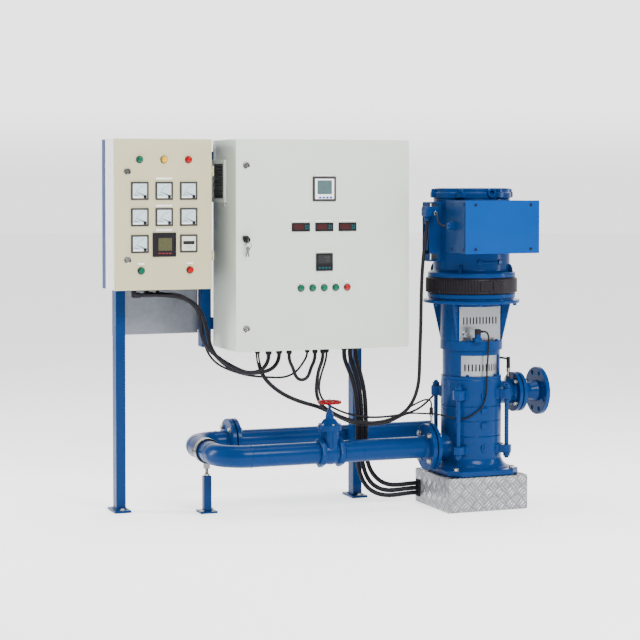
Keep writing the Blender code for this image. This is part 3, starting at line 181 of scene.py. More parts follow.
def powder_coat(name, colour):
    """Baked powder coat: a soft sheen broken by a fine even texture."""
    finish = Finish(name, colour, 0.45)
    finish.mottle(finish.grain(160, 3), 0.975, 1.02)
    finish.roughen(finish.grain(1.1, 2), 0.40, 0.52)
    finish.emboss(finish.grain(1.0, 2), 0.02)
    return finish.material


def zinc_sheet(name, colour="#8f9399"):
    """Hot-dip zinc: grey crystals of different brightness with a satin shine."""
    finish = Finish(name, colour, 0.4, metallic=1.0)
    grey = add(finish.tree, "ShaderNodeSeparateColor", {0: finish.cells(11)[1]})[0]
    finish.mottle(grey, 0.94, 1.04, 0.0, 1.0)
    finish.roughen(finish.grain(14, 3), 0.34, 0.50)
    finish.emboss(finish.grain(3.5, 2), 0.01)
    return finish.material


def tread_aluminium(name, colour):
    """Bright rolled aluminium: mill streaks and small scuffs."""
    finish = Finish(name, colour, 0.36, metallic=1.0)
    finish.mottle(finish.grain(16, 5, roughness=0.65), 0.72, 1.12)
    finish.roughen(finish.grain(5, 4), 0.30, 0.50)
    finish.emboss(finish.grain(1.2, 3), 0.03)
    finish.emboss(finish.grain(7, 2), 0.10)
    return finish.material


def brushed_steel(name, stretch, colour="#9a9da1", roughness=(0.24, 0.40)):
    """Brushed stainless: long fine scratches that spread the highlight."""
    finish = Finish(name, colour, 0.3, metallic=1.0)
    scratches = finish.grain(1.6, 4, stretch=stretch, roughness=0.7)
    finish.mottle(scratches, 0.86, 1.06)
    finish.roughen(scratches, *roughness)
    finish.emboss(scratches, 0.012)
    return finish.material


def bright_zinc(name, colour="#a5a6a4"):
    """Zinc-plated steel: pale, slightly cloudy and shiny."""
    finish = Finish(name, colour, 0.3, metallic=1.0)
    finish.mottle(finish.grain(6, 3), 0.84, 1.05)
    finish.roughen(finish.grain(2.5, 3), 0.20, 0.38)
    finish.emboss(finish.grain(1.5, 2), 0.01)
    return finish.material


def moulded_plastic(name, colour, roughness=(0.35, 0.5), grain_mm=0.9):
    """Moulded plastic: an even colour with a fine spark-eroded texture."""
    finish = Finish(name, colour, 0.42, specular=0.15)
    finish.mottle(finish.grain(40, 3), 0.93, 1.06)
    finish.roughen(finish.grain(4, 3), *roughness)
    finish.emboss(finish.grain(grain_mm, 2), 0.015)
    return finish.material


def cable_sheath(name):
    """Extruded rubber sheath: near black with a dull sheen and a trace of dust."""
    finish = Finish(name, "#100f15", 0.45, specular=0.15)
    finish.mottle(finish.grain(28, 5), 0.75, 1.5)
    finish.roughen(finish.grain(7, 4), 0.36, 0.58)
    finish.emboss(finish.grain(0.7, 2), 0.02)
    return finish.material


def lamp_lens(name, colour):
    """Tinted clear plastic: deep colour under a hard wet gloss."""
    finish = Finish(name, colour, 0.22, coat=0.25, specular=0.15)
    finish.mottle(finish.grain(8, 2), 0.90, 1.10)
    finish.emboss(finish.cells(1.8)[0], 0.01)
    return finish.material


def glazed(name, colour, spread=(0.95, 1.03), pattern_mm=6.0):
    """A printed or lit face behind clear glass: matt colour under a mirror-smooth coat."""
    finish = Finish(name, colour, 0.6, coat=0.35, coat_roughness=0.04, specular=0.2)
    finish.mottle(finish.grain(pattern_mm, 2), *spread)
    return finish.material


CAST_BLUE = gloss_enamel("blue_enamel_on_casting", "#002c5e", cast_mm=0.05)
TUBE_BLUE = gloss_enamel("blue_enamel_on_steel", "#002b5c")
BOX_BLUE = gloss_enamel("blue_satin_enamel_on_sheet", "#003a7e", roughness=(0.36, 0.46))
# A darker copy of the cover's blue enamel: painted shade on the terminal box's sides
SHADED_BOX_BLUE = gloss_enamel("blue_satin_enamel_on_box_sides", "#0e305e", roughness=(0.36, 0.46))
RED = gloss_enamel("red_enamel_on_iron", "#700007", cast_mm=0.03)
BEIGE = powder_coat("pebble_grey_powder_coat_fine", "#b5af8b")
SHELL = powder_coat("cool_white_powder_coat_fine", "#d3d2d6")
GREY = powder_coat("light_grey_powder_coat_fine", "#c1c8bd")
ZINC_SHEET = zinc_sheet("hot_dip_zinc_sheet")
# A darker copy of the zinc sheet: painted shade for the stand's back sheet under the small cabinet
SHADED_ZINC_SHEET = zinc_sheet("hot_dip_zinc_sheet_with_painted_shade", "#747880")
TREAD = tread_aluminium("rolled_tread_aluminium_ground", "#87878b")
TREAD_BAR = tread_aluminium("rolled_tread_aluminium_bars", "#9fa0a3")
STEEL = brushed_steel("stainless_brushed_round", (1.0, 1.0, 12.0))
ZINC = bright_zinc("zinc_plated_steel")
CLAMP = bright_zinc("zinc_plated_clamp_band", "#77797b")
CHROME = brushed_steel("nickel_plated_lock", (6.0, 6.0, 6.0), "#8e8d8a", (0.12, 0.24))
BLACK = moulded_plastic("black_moulded_plastic", "#131117")
RING_BLACK = moulded_plastic("black_cast_cooling_ring", "#141017", (0.38, 0.55), 2.2)
METER_RIM = moulded_plastic("dark_grey_meter_rim", "#353433", (0.28, 0.40))
LOUVRE = moulded_plastic("grey_louvre_plastic", "#605f5e")
METER_LIP = moulded_plastic("light_grey_meter_lip", "#9b9c99", (0.3, 0.42))
WHITE = moulded_plastic("white_label_plastic", "#e9e9e8", (0.35, 0.5))
GASKET = moulded_plastic("black_foam_gasket", "#1b1b1c", (0.75, 0.9), 1.6)
SEAL = moulded_plastic("grey_fibre_gasket", "#3a3b3e", (0.6, 0.8), 1.2)
PRINT = moulded_plastic("black_scale_print", "#26282c", (0.5, 0.6))
TEAL = moulded_plastic("teal_rubber_key", "#034b4e", (0.4, 0.55))
KEY_BLUE = moulded_plastic("blue_rubber_key", "#2546a0", (0.4, 0.55))
KEY_RED = moulded_plastic("dull_red_rubber_key", "#7c2227", (0.4, 0.55))
RUBBER = cable_sheath("black_rubber_sheath")
GREEN_LENS = lamp_lens("green_lamp_lens", "#00523e")
AMBER_LENS = lamp_lens("amber_lamp_lens", "#cf9f06")
RED_LENS = lamp_lens("red_lamp_lens", "#960009")
DIAL = glazed("pale_dial_under_glass", "#b7c9d0")
COUNTER_FACE = glazed("cream_face_under_glass", "#c9c9bf")
OLIVE_LCD = glazed("olive_display", "#403f22", (0.88, 1.05), 9.0)
SAGE_LCD = glazed("sage_display", "#43585a", (0.92, 1.04), 9.0)
RED_WINDOW = glazed("dark_red_display", "#320206", (0.7, 1.25), 5.0)
DARK_WINDOW = glazed("near_black_display", "#17171b", (0.85, 1.1), 5.0)


# Shapes

def ease(shape, radius, rounds=2, angle=25.0):
    """Round the edges that are sharper than an angle."""
    sharp = [edge for edge in shape.edges
             if edge.is_manifold and edge.calc_face_angle() > math.radians(angle)]
    if sharp:
        bmesh.ops.bevel(shape, geom=sharp, offset=radius, offset_type="OFFSET", affect="EDGES",
                        segments=rounds, profile=0.5, material=-1, clamp_overlap=True)
    return shape


def block(low, high, soft=0.0, rounds=2):
    """A box between two corners, with rounded edges."""
    shape = bmesh.new()
    bmesh.ops.create_cube(shape, size=1.0)
    low, high = Vector(low), Vector(high)
    bmesh.ops.scale(shape, vec=high - low, verts=shape.verts)
    bmesh.ops.translate(shape, vec=(low + high) / 2, verts=shape.verts)
    return ease(shape, soft, rounds) if soft else shape


def aimed(start, along):
    """The place and turn that put +Z along a direction."""
    return slide(start) @ Vector(along).to_track_quat("Z", "Y").to_matrix().to_4x4()


def moved(shape, matrix):
    bmesh.ops.transform(shape, matrix=matrix, verts=shape.verts)
    return shape


def rod(start, end, radius, sides=32, soft=0.0):
    """A round bar from one point to another."""
    start, end = Vector(start), Vector(end)
    shape = bmesh.new()
    bmesh.ops.create_cone(shape, cap_ends=True, segments=sides, radius1=radius, radius2=radius,
                          depth=(end - start).length)
    if soft:
        ease(shape, soft, angle=50.0)
    return moved(shape, aimed((start + end) / 2, end - start))


def eased(profile, radius, steps=3):
    """A profile with its corners rounded."""
    points = [Vector(point) for point in profile]
    line = [points[0]]
    for before, corner, after in zip(points, points[1:], points[2:]):
        back, on = before - corner, after - corner
        if radius <= 0 or back.length < 1e-6 or on.length < 1e-6 or back.angle(on) > math.radians(170):
            line.append(corner)
            continue
        first = corner + back.normalized() * min(radius, back.length * 0.45)
        last = corner + on.normalized() * min(radius, on.length * 0.45)
        for step in range(steps + 1):
            part = step / steps
            line.append(first * (1 - part) ** 2 + corner * 2 * part * (1 - part) + last * part ** 2)
    line.append(points[-1])
    return line


def turned(profile, sides=96, base=(0, 0, 0), axis=UP, soft=0.0015):
    """A solid of revolution from (radius, height) points."""
    shape = bmesh.new()
    points = [shape.verts.new((point[0], 0.0, point[1])) for point in eased(profile, soft)]
    for first, second in zip(points, points[1:]):
        shape.edges.new((first, second))
    if profile[0] == profile[-1]:
        bmesh.ops.remove_doubles(shape, verts=shape.verts, dist=0.000005)
    bmesh.ops.spin(shape, geom=shape.verts[:] + shape.edges[:], cent=(0, 0, 0), axis=UP,
                   angle=math.tau, steps=sides, use_merge=True)
    bmesh.ops.remove_doubles(shape, verts=shape.verts, dist=0.000005)
    bmesh.ops.recalc_face_normals(shape, faces=shape.faces)
    return moved(shape, aimed(base, axis))


def raise_faces(shape, along):
    """Turn flat faces into solids."""
    made = bmesh.ops.extrude_face_region(shape, geom=shape.faces[:])["geom"]
    bmesh.ops.translate(shape, vec=along, verts=[item for item in made if isinstance(item, bmesh.types.BMVert)])
    bmesh.ops.recalc_face_normals(shape, faces=shape.faces)
    return shape


def prism(outline, low, high, soft=0.0, rounds=2):
    """A flat outline in X and Y, raised from one height to another."""
    shape = bmesh.new()
    shape.faces.new([shape.verts.new((x, y, low)) for x, y in outline])
    raise_faces(shape, (0, 0, high - low))
    return ease(shape, soft, rounds) if soft else shape


def arc(radius, first_deg, last_deg, steps):
    """Points on an arc about the origin."""
    angles = [math.radians(first_deg + (last_deg - first_deg) * index / steps) for index in range(steps + 1)]
    return [(radius * math.cos(angle), radius * math.sin(angle)) for angle in angles]


def sector(inner, outer, low, high, middle_deg, half_deg, step_deg=3.0, soft=0.0):
    """A curved slab between two radii, over an arc about +Z."""
    steps = max(2, round(2 * half_deg / step_deg))
    first, last = middle_deg - half_deg, middle_deg + half_deg
    return prism(arc(outer, first, last, steps) + arc(inner, last, first, steps), low, high, soft)


def together(*shapes):
    """Several bodies in one mesh."""
    whole = bmesh.new()
    mesh = bpy.data.meshes.new("joined")
    for shape in shapes:
        shape.to_mesh(mesh)
        shape.free()
        whole.from_mesh(mesh)
    bpy.data.meshes.remove(mesh)
    return whole


def cut(shape, *tools):
    """A shape with others cut out of it."""
    things = []
    for part in (shape, *tools):
        things.append(placed("cutting", bpy.data.meshes.new("cutting")))
        part.to_mesh(things[-1].data)
        part.free()
    for tool in things[1:]:
        modifier = things[0].modifiers.new("cut", "BOOLEAN")
        modifier.operation = "DIFFERENCE"
        modifier.solver = "EXACT"
        modifier.object = tool
    result = bmesh.new()
    result.from_mesh(things[0].evaluated_get(bpy.context.evaluated_depsgraph_get()).to_mesh())
    for thing in things:
        mesh = thing.data
        bpy.data.objects.remove(thing)
        bpy.data.meshes.remove(mesh)
    return result


def spread(angles, maker, *facts):
    """A shape made anew at each angle about +Z."""
    return [moved(maker(*facts), spin(deg)) for deg in angles]


def around(count, first_deg, maker, *facts):
    """One mesh with a shape repeated evenly about +Z."""
    return together(*spread([first_deg + 360.0 * index / count for index in range(count)], maker, *facts))


def ring(place, radius, side, up, sides):
    """Points round a place."""
    turns = [math.tau * index / sides for index in range(sides)]
    return [Vector(place) + radius * (math.cos(turn) * side + math.sin(turn) * up) for turn in turns]


def skinned(rings):
    """A closed tube through rings of points."""
    shape = bmesh.new()
    rings = [[shape.verts.new(point) for point in points] for points in rings]
    for near, far in zip(rings, rings[1:]):
        for index in range(len(near)):
            after = (index + 1) % len(near)
            shape.faces.new((near[index], near[after], far[after], far[index]))
    shape.faces.new(rings[0])
    shape.faces.new(rings[-1])
    bmesh.ops.recalc_face_normals(shape, faces=shape.faces)
    return shape


def pan(low, high, wall, opening, soft):
    """A folded sheet pan, open towards +Y or -Y, with rounded outer edges."""
    low, high = Vector(low), Vector(high)
    shape = block(low, high, soft, 3)
    pick = max if opening > 0 else min
    back = pick(shape.faces, key=lambda face: (face.calc_center_median().y, face.calc_area() * opening))
    bmesh.ops.inset_region(shape, faces=[back], thickness=wall, use_even_offset=True)
    bmesh.ops.inset_region(shape, faces=[back], thickness=0.0002, depth=-(high.y - low.y - wall),
                           use_even_offset=True)
    return shape


def border(low, high, width, soft=0.0):
    """A rectangular frame of four bars, in the plane of X and Z."""
    (left, front, bottom), (right, back, top) = low, high
    bars = ((left, bottom, right, bottom + width), (left, top - width, right, top),
            (left, bottom + width, left + width, top - width), (right - width, bottom + width, right, top - width))
    return together(*(block((x0, front, z0), (x1, back, z1), soft) for x0, z0, x1, z1 in bars))


def hexagon(place, along, across, height, washer=True):
    """A hexagon head with a chamfered top, on its washer."""
    radius = across / 2 / math.cos(math.radians(30))
    head = bmesh.new()
    bmesh.ops.create_cone(head, cap_ends=True, segments=6, radius1=radius, radius2=radius, depth=height)
    top = [edge for edge in head.edges if edge.verts[0].co.z > 0 and edge.verts[1].co.z > 0]
    bmesh.ops.bevel(head, geom=top, offset=height * 0.16, offset_type="OFFSET", affect="EDGES", segments=2,
                    profile=0.5, material=-1)
    bmesh.ops.translate(head, vec=(0, 0, height / 2 + across * 0.06), verts=head.verts)
    shapes = [head, rod((0, 0, height * 0.9), (0, 0, height + across * 0.16), across * 0.27, 16, across * 0.05)]
    if washer:
        shapes.append(rod((0, 0, -0.0002), (0, 0, across * 0.10), across * 0.66, 24, across * 0.03))
    return moved(together(*shapes), aimed(place, along))


# Pieces

def show(name, shape, finish, nodes="", body="set", sharp=35.0):
    """Put a finished shape in the scene, on its body, in place of the CAD nodes that it stands for."""
    bmesh.ops.recalc_face_normals(shape, faces=shape.faces)
    mesh = bpy.data.meshes.new(name)
    shape.to_mesh(mesh)
    shape.free()
    mesh.materials.append(finish)
    mesh.shade_smooth()
    mesh.set_sharp_from_angle(angle=math.radians(sharp))
    thing = placed(name, mesh)
    thing.modifiers.new("even_shading", "WEIGHTED_NORMAL").keep_sharp = True
    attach(thing, body)
    stands_for = nodes.split()
    if stands_for:
        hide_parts(*stands_for)


class Kit:
    """Small shapes gathered by finish, so that each finish becomes one piece."""

    def __init__(self, name, body="set"):
        self.name = name
        self.body = body
        self.shapes = {}

    def put(self, finish, *shapes):
        self.shapes.setdefault(finish.name, (finish, []))[1].extend(shapes)

    def show(self):
        for finish, shapes in self.shapes.values():
            show(f"{self.name}_{finish.name}", together(*shapes), finish, body=self.body)


# Camera, floor and light

def ramp(tree, value, first, last, low, high):
    """A smooth step from one strength to another."""
    return add(tree, "ShaderNodeMapRange", {0: value, 1: first, 2: last, 3: low, 4: high},
               interpolation_type="SMOOTHSTEP")[0]


def make_studio():
    """The photograph's view, on a pale floor in soft white light."""
    camera = placed("camera", bpy.data.cameras.new("camera"))
    camera.location = (-2.778, -7.1735, 1.3542)
    camera.rotation_euler = (math.radians(88.0), 0.0, math.radians(-20.883))
    camera.data.lens = 105.518
    camera.data.sensor_width = 36.0
    camera.data.shift_y = -0.1173
    bpy.context.scene.camera = camera

    world = bpy.data.worlds.new("studio")
    world.use_nodes = True
    tree = world.node_tree
    way = add(tree, "ShaderNodeTexCoord", {})["Generated"]
    toward_wall = add(tree, "ShaderNodeVectorMath", {0: way, 1: WALL_SIDE}, operation="DOT_PRODUCT")["Value"]
    height = add(tree, "ShaderNodeSeparateXYZ", {0: way})[2]
    strength = add(tree, "ShaderNodeMath", {0: ramp(tree, toward_wall, *WALL_EDGE, ROOM_LIGHT, WALL_LIGHT),
                                            1: ramp(tree, height, *HORIZON_FADE, 1.0)}, operation="MULTIPLY")[0]
    tree.nodes["Background"].inputs["Color"].default_value = WHITE_LIGHT
    tree.links.new(strength, tree.nodes["Background"].inputs["Strength"])
    bpy.context.scene.world = world

    finish = Finish("pale_studio_floor", "#f4f4f4", 0.7)
    finish.roughen(finish.grain(300, 2), 0.65, 0.8)
    finish.set(("Emission Color", WHITE_LIGHT), ("Emission Strength", FLOOR_GLOW))
    floor = placed("floor", bpy.data.meshes.new("floor"))
    shape = bmesh.new()
    bmesh.ops.create_circle(shape, cap_ends=True, segments=64, radius=FLOOR_RADIUS)
    shape.to_mesh(floor.data)
    shape.free()
    floor.data.materials.append(finish.material)
    floor.location.z = -0.5 * MM

    for name, place, target, size, watts in LIGHTS:
        light = placed(name, bpy.data.lights.new(name, "AREA"))
        light.data.shape = "RECTANGLE"
        light.data.size, light.data.size_y = size
        light.data.energy = watts
        light.location = place
        light.rotation_euler = (Vector(target) - Vector(place)).to_track_quat("-Z", "Y").to_euler()


WHITE_LIGHT = (1.0, 1.0, 1.0, 1.0)
WALL_SIDE = (0.356, 0.934, 0.0)
WALL_EDGE = (0.62, 0.93)
HORIZON_FADE = (0.0, 0.045, 0.70)
WALL_LIGHT = 2.9
ROOM_LIGHT = 0.26
FLOOR_GLOW = 1.3
FLOOR_RADIUS = 40.0

# Name, place, target, width and height, and watts
LIGHTS = (
    ("left_softbox", (-4.2, 1.9, 1.8), (-0.6, 0.1, 1.0), (1.2, 2.8), 280.0),
    ("front_softbox", (0.5, -5.2, 4.0), (0.1, 0.0, 0.8), (3.0, 2.0), 520.0),
    ("right_strip", (3.4, -1.4, 1.9), (0.5, -0.1, 0.9), (0.5, 2.4), 60.0),
    ("top_softbox", (0.2, 0.2, 4.2), (0.0, 0.0, 0.4), (3.0, 3.0), 160.0),
)


# Cables, along the routes of their solids

def natural_spline(route, samples=400):
    """Closely spaced points on the natural cubic spline through a route."""
    knots = np.array(route, dtype=float)
    spans = np.linalg.norm(np.diff(knots, axis=0), axis=1)
    times = np.concatenate([[0.0], np.cumsum(spans)])
    count = len(knots)
    system = np.eye(count)
    right = np.zeros_like(knots)
    for index in range(1, count - 1):
        before, after = spans[index - 1], spans[index]
        system[index, index - 1:index + 2] = (before, 2 * (before + after), after)
        right[index] = 6 * ((knots[index + 1] - knots[index]) / after
                            - (knots[index] - knots[index - 1]) / before)
    curvature = np.linalg.solve(system, right)
    fine = []
    for value in np.linspace(0.0, times[-1], samples):
        index = min(int(np.searchsorted(times, value, side="right")) - 1, count - 2)
        span = spans[index]
        near, far = times[index + 1] - value, value - times[index]
        fine.append(curvature[index] * near ** 3 / (6 * span)
                    + curvature[index + 1] * far ** 3 / (6 * span)
                    + (knots[index] / span - curvature[index] * span / 6) * near
                    + (knots[index + 1] / span - curvature[index + 1] * span / 6) * far)
    return np.array(fine)


def even_points(fine, spacing):
    """Points at even steps along a finely sampled line."""
    lengths = np.concatenate([[0.0], np.cumsum(np.linalg.norm(np.diff(fine, axis=0), axis=1))])
    wanted = np.linspace(0.0, lengths[-1], max(8, round(lengths[-1] / spacing)) + 1)
    return np.stack([np.interp(wanted, lengths, fine[:, axis]) for axis in range(3)], axis=1)


def make_cables():
    """Round sheaths, each a cord of its CAD node's diameter."""
    for name, (diameter, stiffness, route) in CABLE_ROUTES.items():
        points = even_points(natural_spline(route), max(0.006, diameter * 0.6))
        curve = bpy.data.curves.new(f"{name}_sheath", "CURVE")
        curve.dimensions = "3D"
        curve.bevel_depth = diameter / 2
        curve.bevel_resolution = 5
        curve.use_fill_caps = True
        spline = curve.splines.new("POLY")
        spline.points.add(len(points) - 1)
        for point, place in zip(spline.points, points):
            point.co = (*place, 1.0)
        curve.materials.append(RUBBER)
        thing = placed(f"{name}_sheath", curve)
        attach(thing, "set")
        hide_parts(name)


def make_lead_sleeve():
    """A ribbed sleeve that binds the two sensor leads into one trunk."""
    first, second = (natural_spline(CABLE_ROUTES[name][2]) for name in ("suction_lead", "lantern_lead"))
    top, right_end, rib_pitch = 0.605, 0.292, 0.0045
    middle = [(place + second[np.argmin(np.linalg.norm(second - place, axis=1))]) / 2
              for place in first if place[2] < top and place[0] < right_end]
    points = even_points(np.array(middle), rib_pitch)
    rings = []
    for index, place in enumerate(points):
        along = Vector(points[min(index + 1, len(points) - 1)] - points[max(index - 1, 0)]).normalized()
        side = along.cross(Vector(UP)).normalized()
        rings.append(ring(place, 0.0086 if index % 2 else 0.0079, side, side.cross(along), 20))
    show("sensor_lead_sleeve", skinned(rings), RUBBER, sharp=60)


CABLE_ROUTES = {
    "panel_cable_1": (0.016, "medium", mm(
        "-784.7,50,893 -745,50,893 -700,50,891 -640,52,884 -588,56,866 -551,60,831 -535,64,782 -529,67,735 "
        "-514,66,690 -480,62,650 -431,53,612 -389,43,588 -352,37,572 -320.5,34.5,569 -294.5,34,574.2 -272.4,34,588.9 "
        "-257.7,34,611 -253.1,34,630 -252.5,34,640.6")),
    "panel_cable_2": (0.016, "medium", mm(
        "-724.7,80,893 -690,80,893 -645,80,889 -595,82,875 -548,84,846 -516,86,800 -499,88,742 -484,90,682 "
        "-457,90,634 -421,84,600 -380,78,577 -333,71,564.5 -296,67,563 -265.2,64,566.5 -239.2,62,574.2 "
        "-217.1,62,588.9 -202.4,62,611 -197.8,62,630 -197.2,62,640.6")),
    "signal_cable": (0.009, "medium", mm(
        "-669.7,110,893 -640,110,893 -590,110,880 -545,110,845 -519,110,790 -507,111,720 -490,112,655 -450,112,605 "
        "-385,111,571 -310,110,549 -243,108,540.5 -202,103,537.5 -157,95,540 -110,86,565 -85.5,81,597 -68.8,80,630 "
        "-67.6,80,640.6")),
    "loop_cable": (0.014, "limp", mm(
        "-165.2,30,641.2 -165.1,30,629 -160,30,605 -149,30,582 -142.5,30,564 -135.5,30,547.5 -124.5,30,536 "
        "-108.5,30,531.5 -92.5,30,536 -81.5,30,547.5 -74.5,30,564 -68,30,582 -57,30,605 -52.2,30,629 "
        "-52.1,30,641.2")),
    "motor_cable": (0.0145, "medium", mm(
        "-21.2,20,641.2 -21.4,19.8,630 -26.5,17,607 -39.5,10,580 -55.2,0,523.1 -60,-10,480.3 -50,-18,443 -20,-23,413 "
        "24.5,-29,387 79.6,-34,365 130,-38,354 185,-46,351 246,-66,364 300,-92,398 331,-112,452.1 345,-124,515.9 "
        "347.4,-131,606.3 349,-136,720 350,-140,860 351,-154,1015 352,-176,1106 353,-188,1155 353,-190,1186.7")),
    "suction_lead": (0.007, "limp", mm(
        "-275.9,92,641.2 -275.8,92,631 -271,92,603.2 -261.1,90,568.5 -246.6,86,540.2 -217.1,78,507.4 -178.9,67,478.4 "
        "-132.7,53,454.1 -82.2,37,435.9 -39.4,24,422.2 26.4,8,389.8 78.8,-4,364.4 126.5,-14,350.4 178.4,-24,348 "
        "248.2,-40,358 289.7,-55,379.4 320,-75,407 343,-96,426.5 364,-115,440.5 384,-127,447 392.5,-129,444.7 "
        "398.7,-129.5,438.5 401,-129.5,429 401,-129.5,414.3")),
    "lantern_lead": (0.007, "limp", mm(
        "-285.1,92,641.2 -285,92,631 -280,92,601.2 -269.7,90,565.1 -254,86,534.8 -223.3,78,500.6 -183.9,67,470.6 "
        "-136.5,53,445.7 -85.2,37,427.1 -43,24,413.8 22.4,8,381.6 75.4,-4,355.8 125.1,-14,341.4 179,-24,338.8 "
        "250.6,-40,349.2 293.9,-55,371.2 318,-77,385 356,-122,390 402,-178,391 452,-218,380 490,-233,374 "
        "530,-256,393 566,-265,424 584,-267,470 588,-266,536 591,-268,618 594,-270,670 595,-268,705 589,-267.5,726.5 "
        "579.5,-267.5,732.5 570.5,-267.5,733")),
    "discharge_lead": (0.009, "medium", mm(
        "6,48,641.2 5.8,48,630 0.5,46,605 -16,38,565 -33,26,520 -37,18,484 -27,12,453 3,9,424 48,6,400 110,2,379 "
        "180,-9,369 250,-20,370 320,-22,377 380,0,386 450,40,410 530,62,470 610,55,532 676,22,575 724,-22,597 "
        "747,-66,603 754,-92,602.5 754,-111.2,602.5")),
    "plinth_cable_1": (0.0185, "stiff", mm(
        "105,100,641.2 105,100,621 109.5,98.5,596 125,94,555 143.5,86,490 153,77,400 153.5,74,290 153.5,70,195 "
        "165,60,115 198,44,60 250,26,36 320,12,36 370,8,40 402.5,8,40")),
    "plinth_cable_2": (0.0185, "stiff", mm(
        "131,100,641.2 131,100,621 135,98.5,596 148,94,555 164.5,86,490 172.7,77,400 173.2,74,290 173.2,70,200 "
        "184,61,130 212,46,80 257,28,56.5 320,14,56.2 370,8,60 402.5,8,60")),
    "plinth_cable_3": (0.0185, "stiff", mm(
        "157,100,641.2 157,100,621 160.5,98.5,596 171,94,555 185.5,86,490 192.6,77,400 193.2,74,290 193.6,70,205 "
        "203,62,152 228,50,108 268,33,80.5 320,16,76.2 370,8,80 402.5,8,80")),
    "terminal_jumper": (0.008, "limp", mm(
        "370,-234.8,1217 369.7,-245,1216.7 366.5,-260,1211 361,-275.5,1199.5 356,-292,1183.5 361.3,-308.2,1171.5 "
        "372,-313.3,1167.5 381.5,-313.5,1167")),
}


# Cabinets

SHEET = 0.0025
SHEET_BACK = 0.0026
DOOR_DEPTH = 0.020


def facing(shape, x, y, z):
    """Turn a shape drawn flat, with its face up, to look out of a door at a place."""
    return moved(shape, slide((x, y, z)) @ spin(90, "X"))


def plate(width, height, thick, x=0.0, z=0.0, lift=0.0, soft=0.0):
    """A flat piece on an instrument's face."""
    return block((x - width / 2, z - height / 2, lift), (x + width / 2, z + height / 2, lift + thick), soft)


def bezel(width, height, thick, rim, sink, soft):
    """A housing front with a sunk middle."""
    shape = block((-width / 2, -height / 2, 0.0), (width / 2, height / 2, thick), soft, 3)
    top = max(shape.faces, key=lambda face: (face.calc_center_median().z, face.calc_area()))
    bmesh.ops.inset_region(shape, faces=[top], thickness=rim, use_even_offset=True)
    bmesh.ops.inset_region(shape, faces=[top], thickness=sink * 0.35, depth=-sink, use_even_offset=True)
    return shape


def put_faced(kit, x, y, z, *pairs):
    """Add shapes drawn on an instrument's face, each with its finish."""
    for finish, shape in pairs:
        kit.put(finish, facing(shape, x, y, z))


def meter_case(face):
    """The rim, the lip and the face of a 72 mm meter."""
    return ((METER_RIM, bezel(0.072, 0.072, 0.0058, 0.0050, 0.0028, 0.0016)),
            (METER_LIP, bezel(0.0625, 0.0625, 0.0048, 0.0016, 0.0014, 0.0003)),
            (face, plate(0.0590, 0.0590, 0.0002, lift=0.0035)))


def keys(width, height, thick, first, pitch, z, lift):
    """Four keys in a row."""
    return together(*(plate(width, height, thick, first + pitch * index, z, lift, 0.0003) for index in range(4)))


def pointer_meter(kit, x, y, z):
    """A 72 mm moving-coil meter, at rest at the left of its scale."""
    pivot, print_lift = slide((0.0215, -0.0215, 0)), 0.0037
    ticks = []
    for index in range(11):
        length = 0.0042 if index % 5 == 0 else 0.0026
        tick = plate(length, 0.0007, 0.0002, -(0.0405 + length / 2), lift=print_lift)
        ticks.append(moved(tick, pivot @ spin(-6 - 78 * index / 10)))
    scale = moved(sector(0.0398, 0.0405, print_lift, 0.0039, 135, 39, 6), pivot)
    needle = moved(prism(mm("-34,1.2 -34,0 0,-1.4 4,-1.4 4,2.2 0,2.2"), 0.0042, 0.0046),
                   slide((0.0175, -0.0185, 0)) @ spin(-24))
    unit = plate(0.021, 0.0022, 0.0002, -0.014, -0.0165, print_lift)
    put_faced(kit, x, y, z, *meter_case(DIAL), (PRINT, together(scale, *ticks, needle, unit)),
              (WHITE, plate(0.0580, 0.0055, 0.0002, z=-0.0262, lift=print_lift)),
              (BLACK, together(block((0.0145, -0.0285, print_lift), (0.0270, -0.0165, 0.0050), 0.0008),
                               rod((0.0205, -0.0225, 0.0050), (0.0205, -0.0225, 0.0056), 0.0032, 20, 0.0003))))


def hour_counter(kit, x, y, z):
    """A 72 mm running-hours counter with six number drums."""
    drums = [turned(mm("0,-2.6 4.5,-2.6 4.5,2.6 0,2.6"), 24, (-0.0165 + 0.0066 * index, 0.003, 0.0008), RIGHT, 0.0004)
             for index in range(6)]
    lines = [plate(0.030 - 0.006 * row, 0.0012, 0.0002, z=-0.012 - 0.006 * row, lift=0.0037) for row in range(2)]
    put_faced(kit, x, y, z, *meter_case(COUNTER_FACE),
              (BLACK, moved(bezel(0.047, 0.0135, 0.0008, 0.0012, 0.0004, 0.0003), slide((0, 0.003, 0.0037)))),
              (PRINT, together(*drums, *lines)))


def dark_power_meter(kit, x, y, z):
    """A 96 mm dark meter with an olive screen under an arched hood."""
    outline = mm("-36.5,-26 36.5,-26") + [(px, pz * 0.62 + 0.015) for px, pz in arc(0.036, 30, 150, 10)]
    put_faced(kit, x, y, z,
              (RING_BLACK, bezel(0.096, 0.096, 0.0068, 0.0045, 0.0010, 0.0016)),
              (BLACK, moved(prism(outline, 0.0, 0.0014, 0.0005), slide((0.002, 0.002, 0.0058)))),
              (OLIVE_LCD, plate(0.056, 0.050, 0.0003, 0.002, 0.0015, 0.0073, 0.0001)),
              (KEY_RED, keys(0.0105, 0.0045, 0.0010, -0.0205, 0.0145, -0.0345, 0.0058)))


def white_power_meter(kit, x, y, z):
    """A 96 mm meter with a white face, a sage screen and blue keys."""
    put_faced(kit, x, y, z,
              (METER_RIM, bezel(0.101, 0.101, 0.0070, 0.0060, 0.0010, 0.0034)),
              (WHITE, plate(0.0880, 0.0880, 0.0004, lift=0.0058, soft=0.0001)),
              (SAGE_LCD, plate(0.0630, 0.0560, 0.0005, z=0.0065, lift=0.0062, soft=0.0002)),
              (KEY_BLUE, keys(0.0105, 0.0078, 0.0010, -0.0195, 0.0155, -0.0352, 0.0062)))


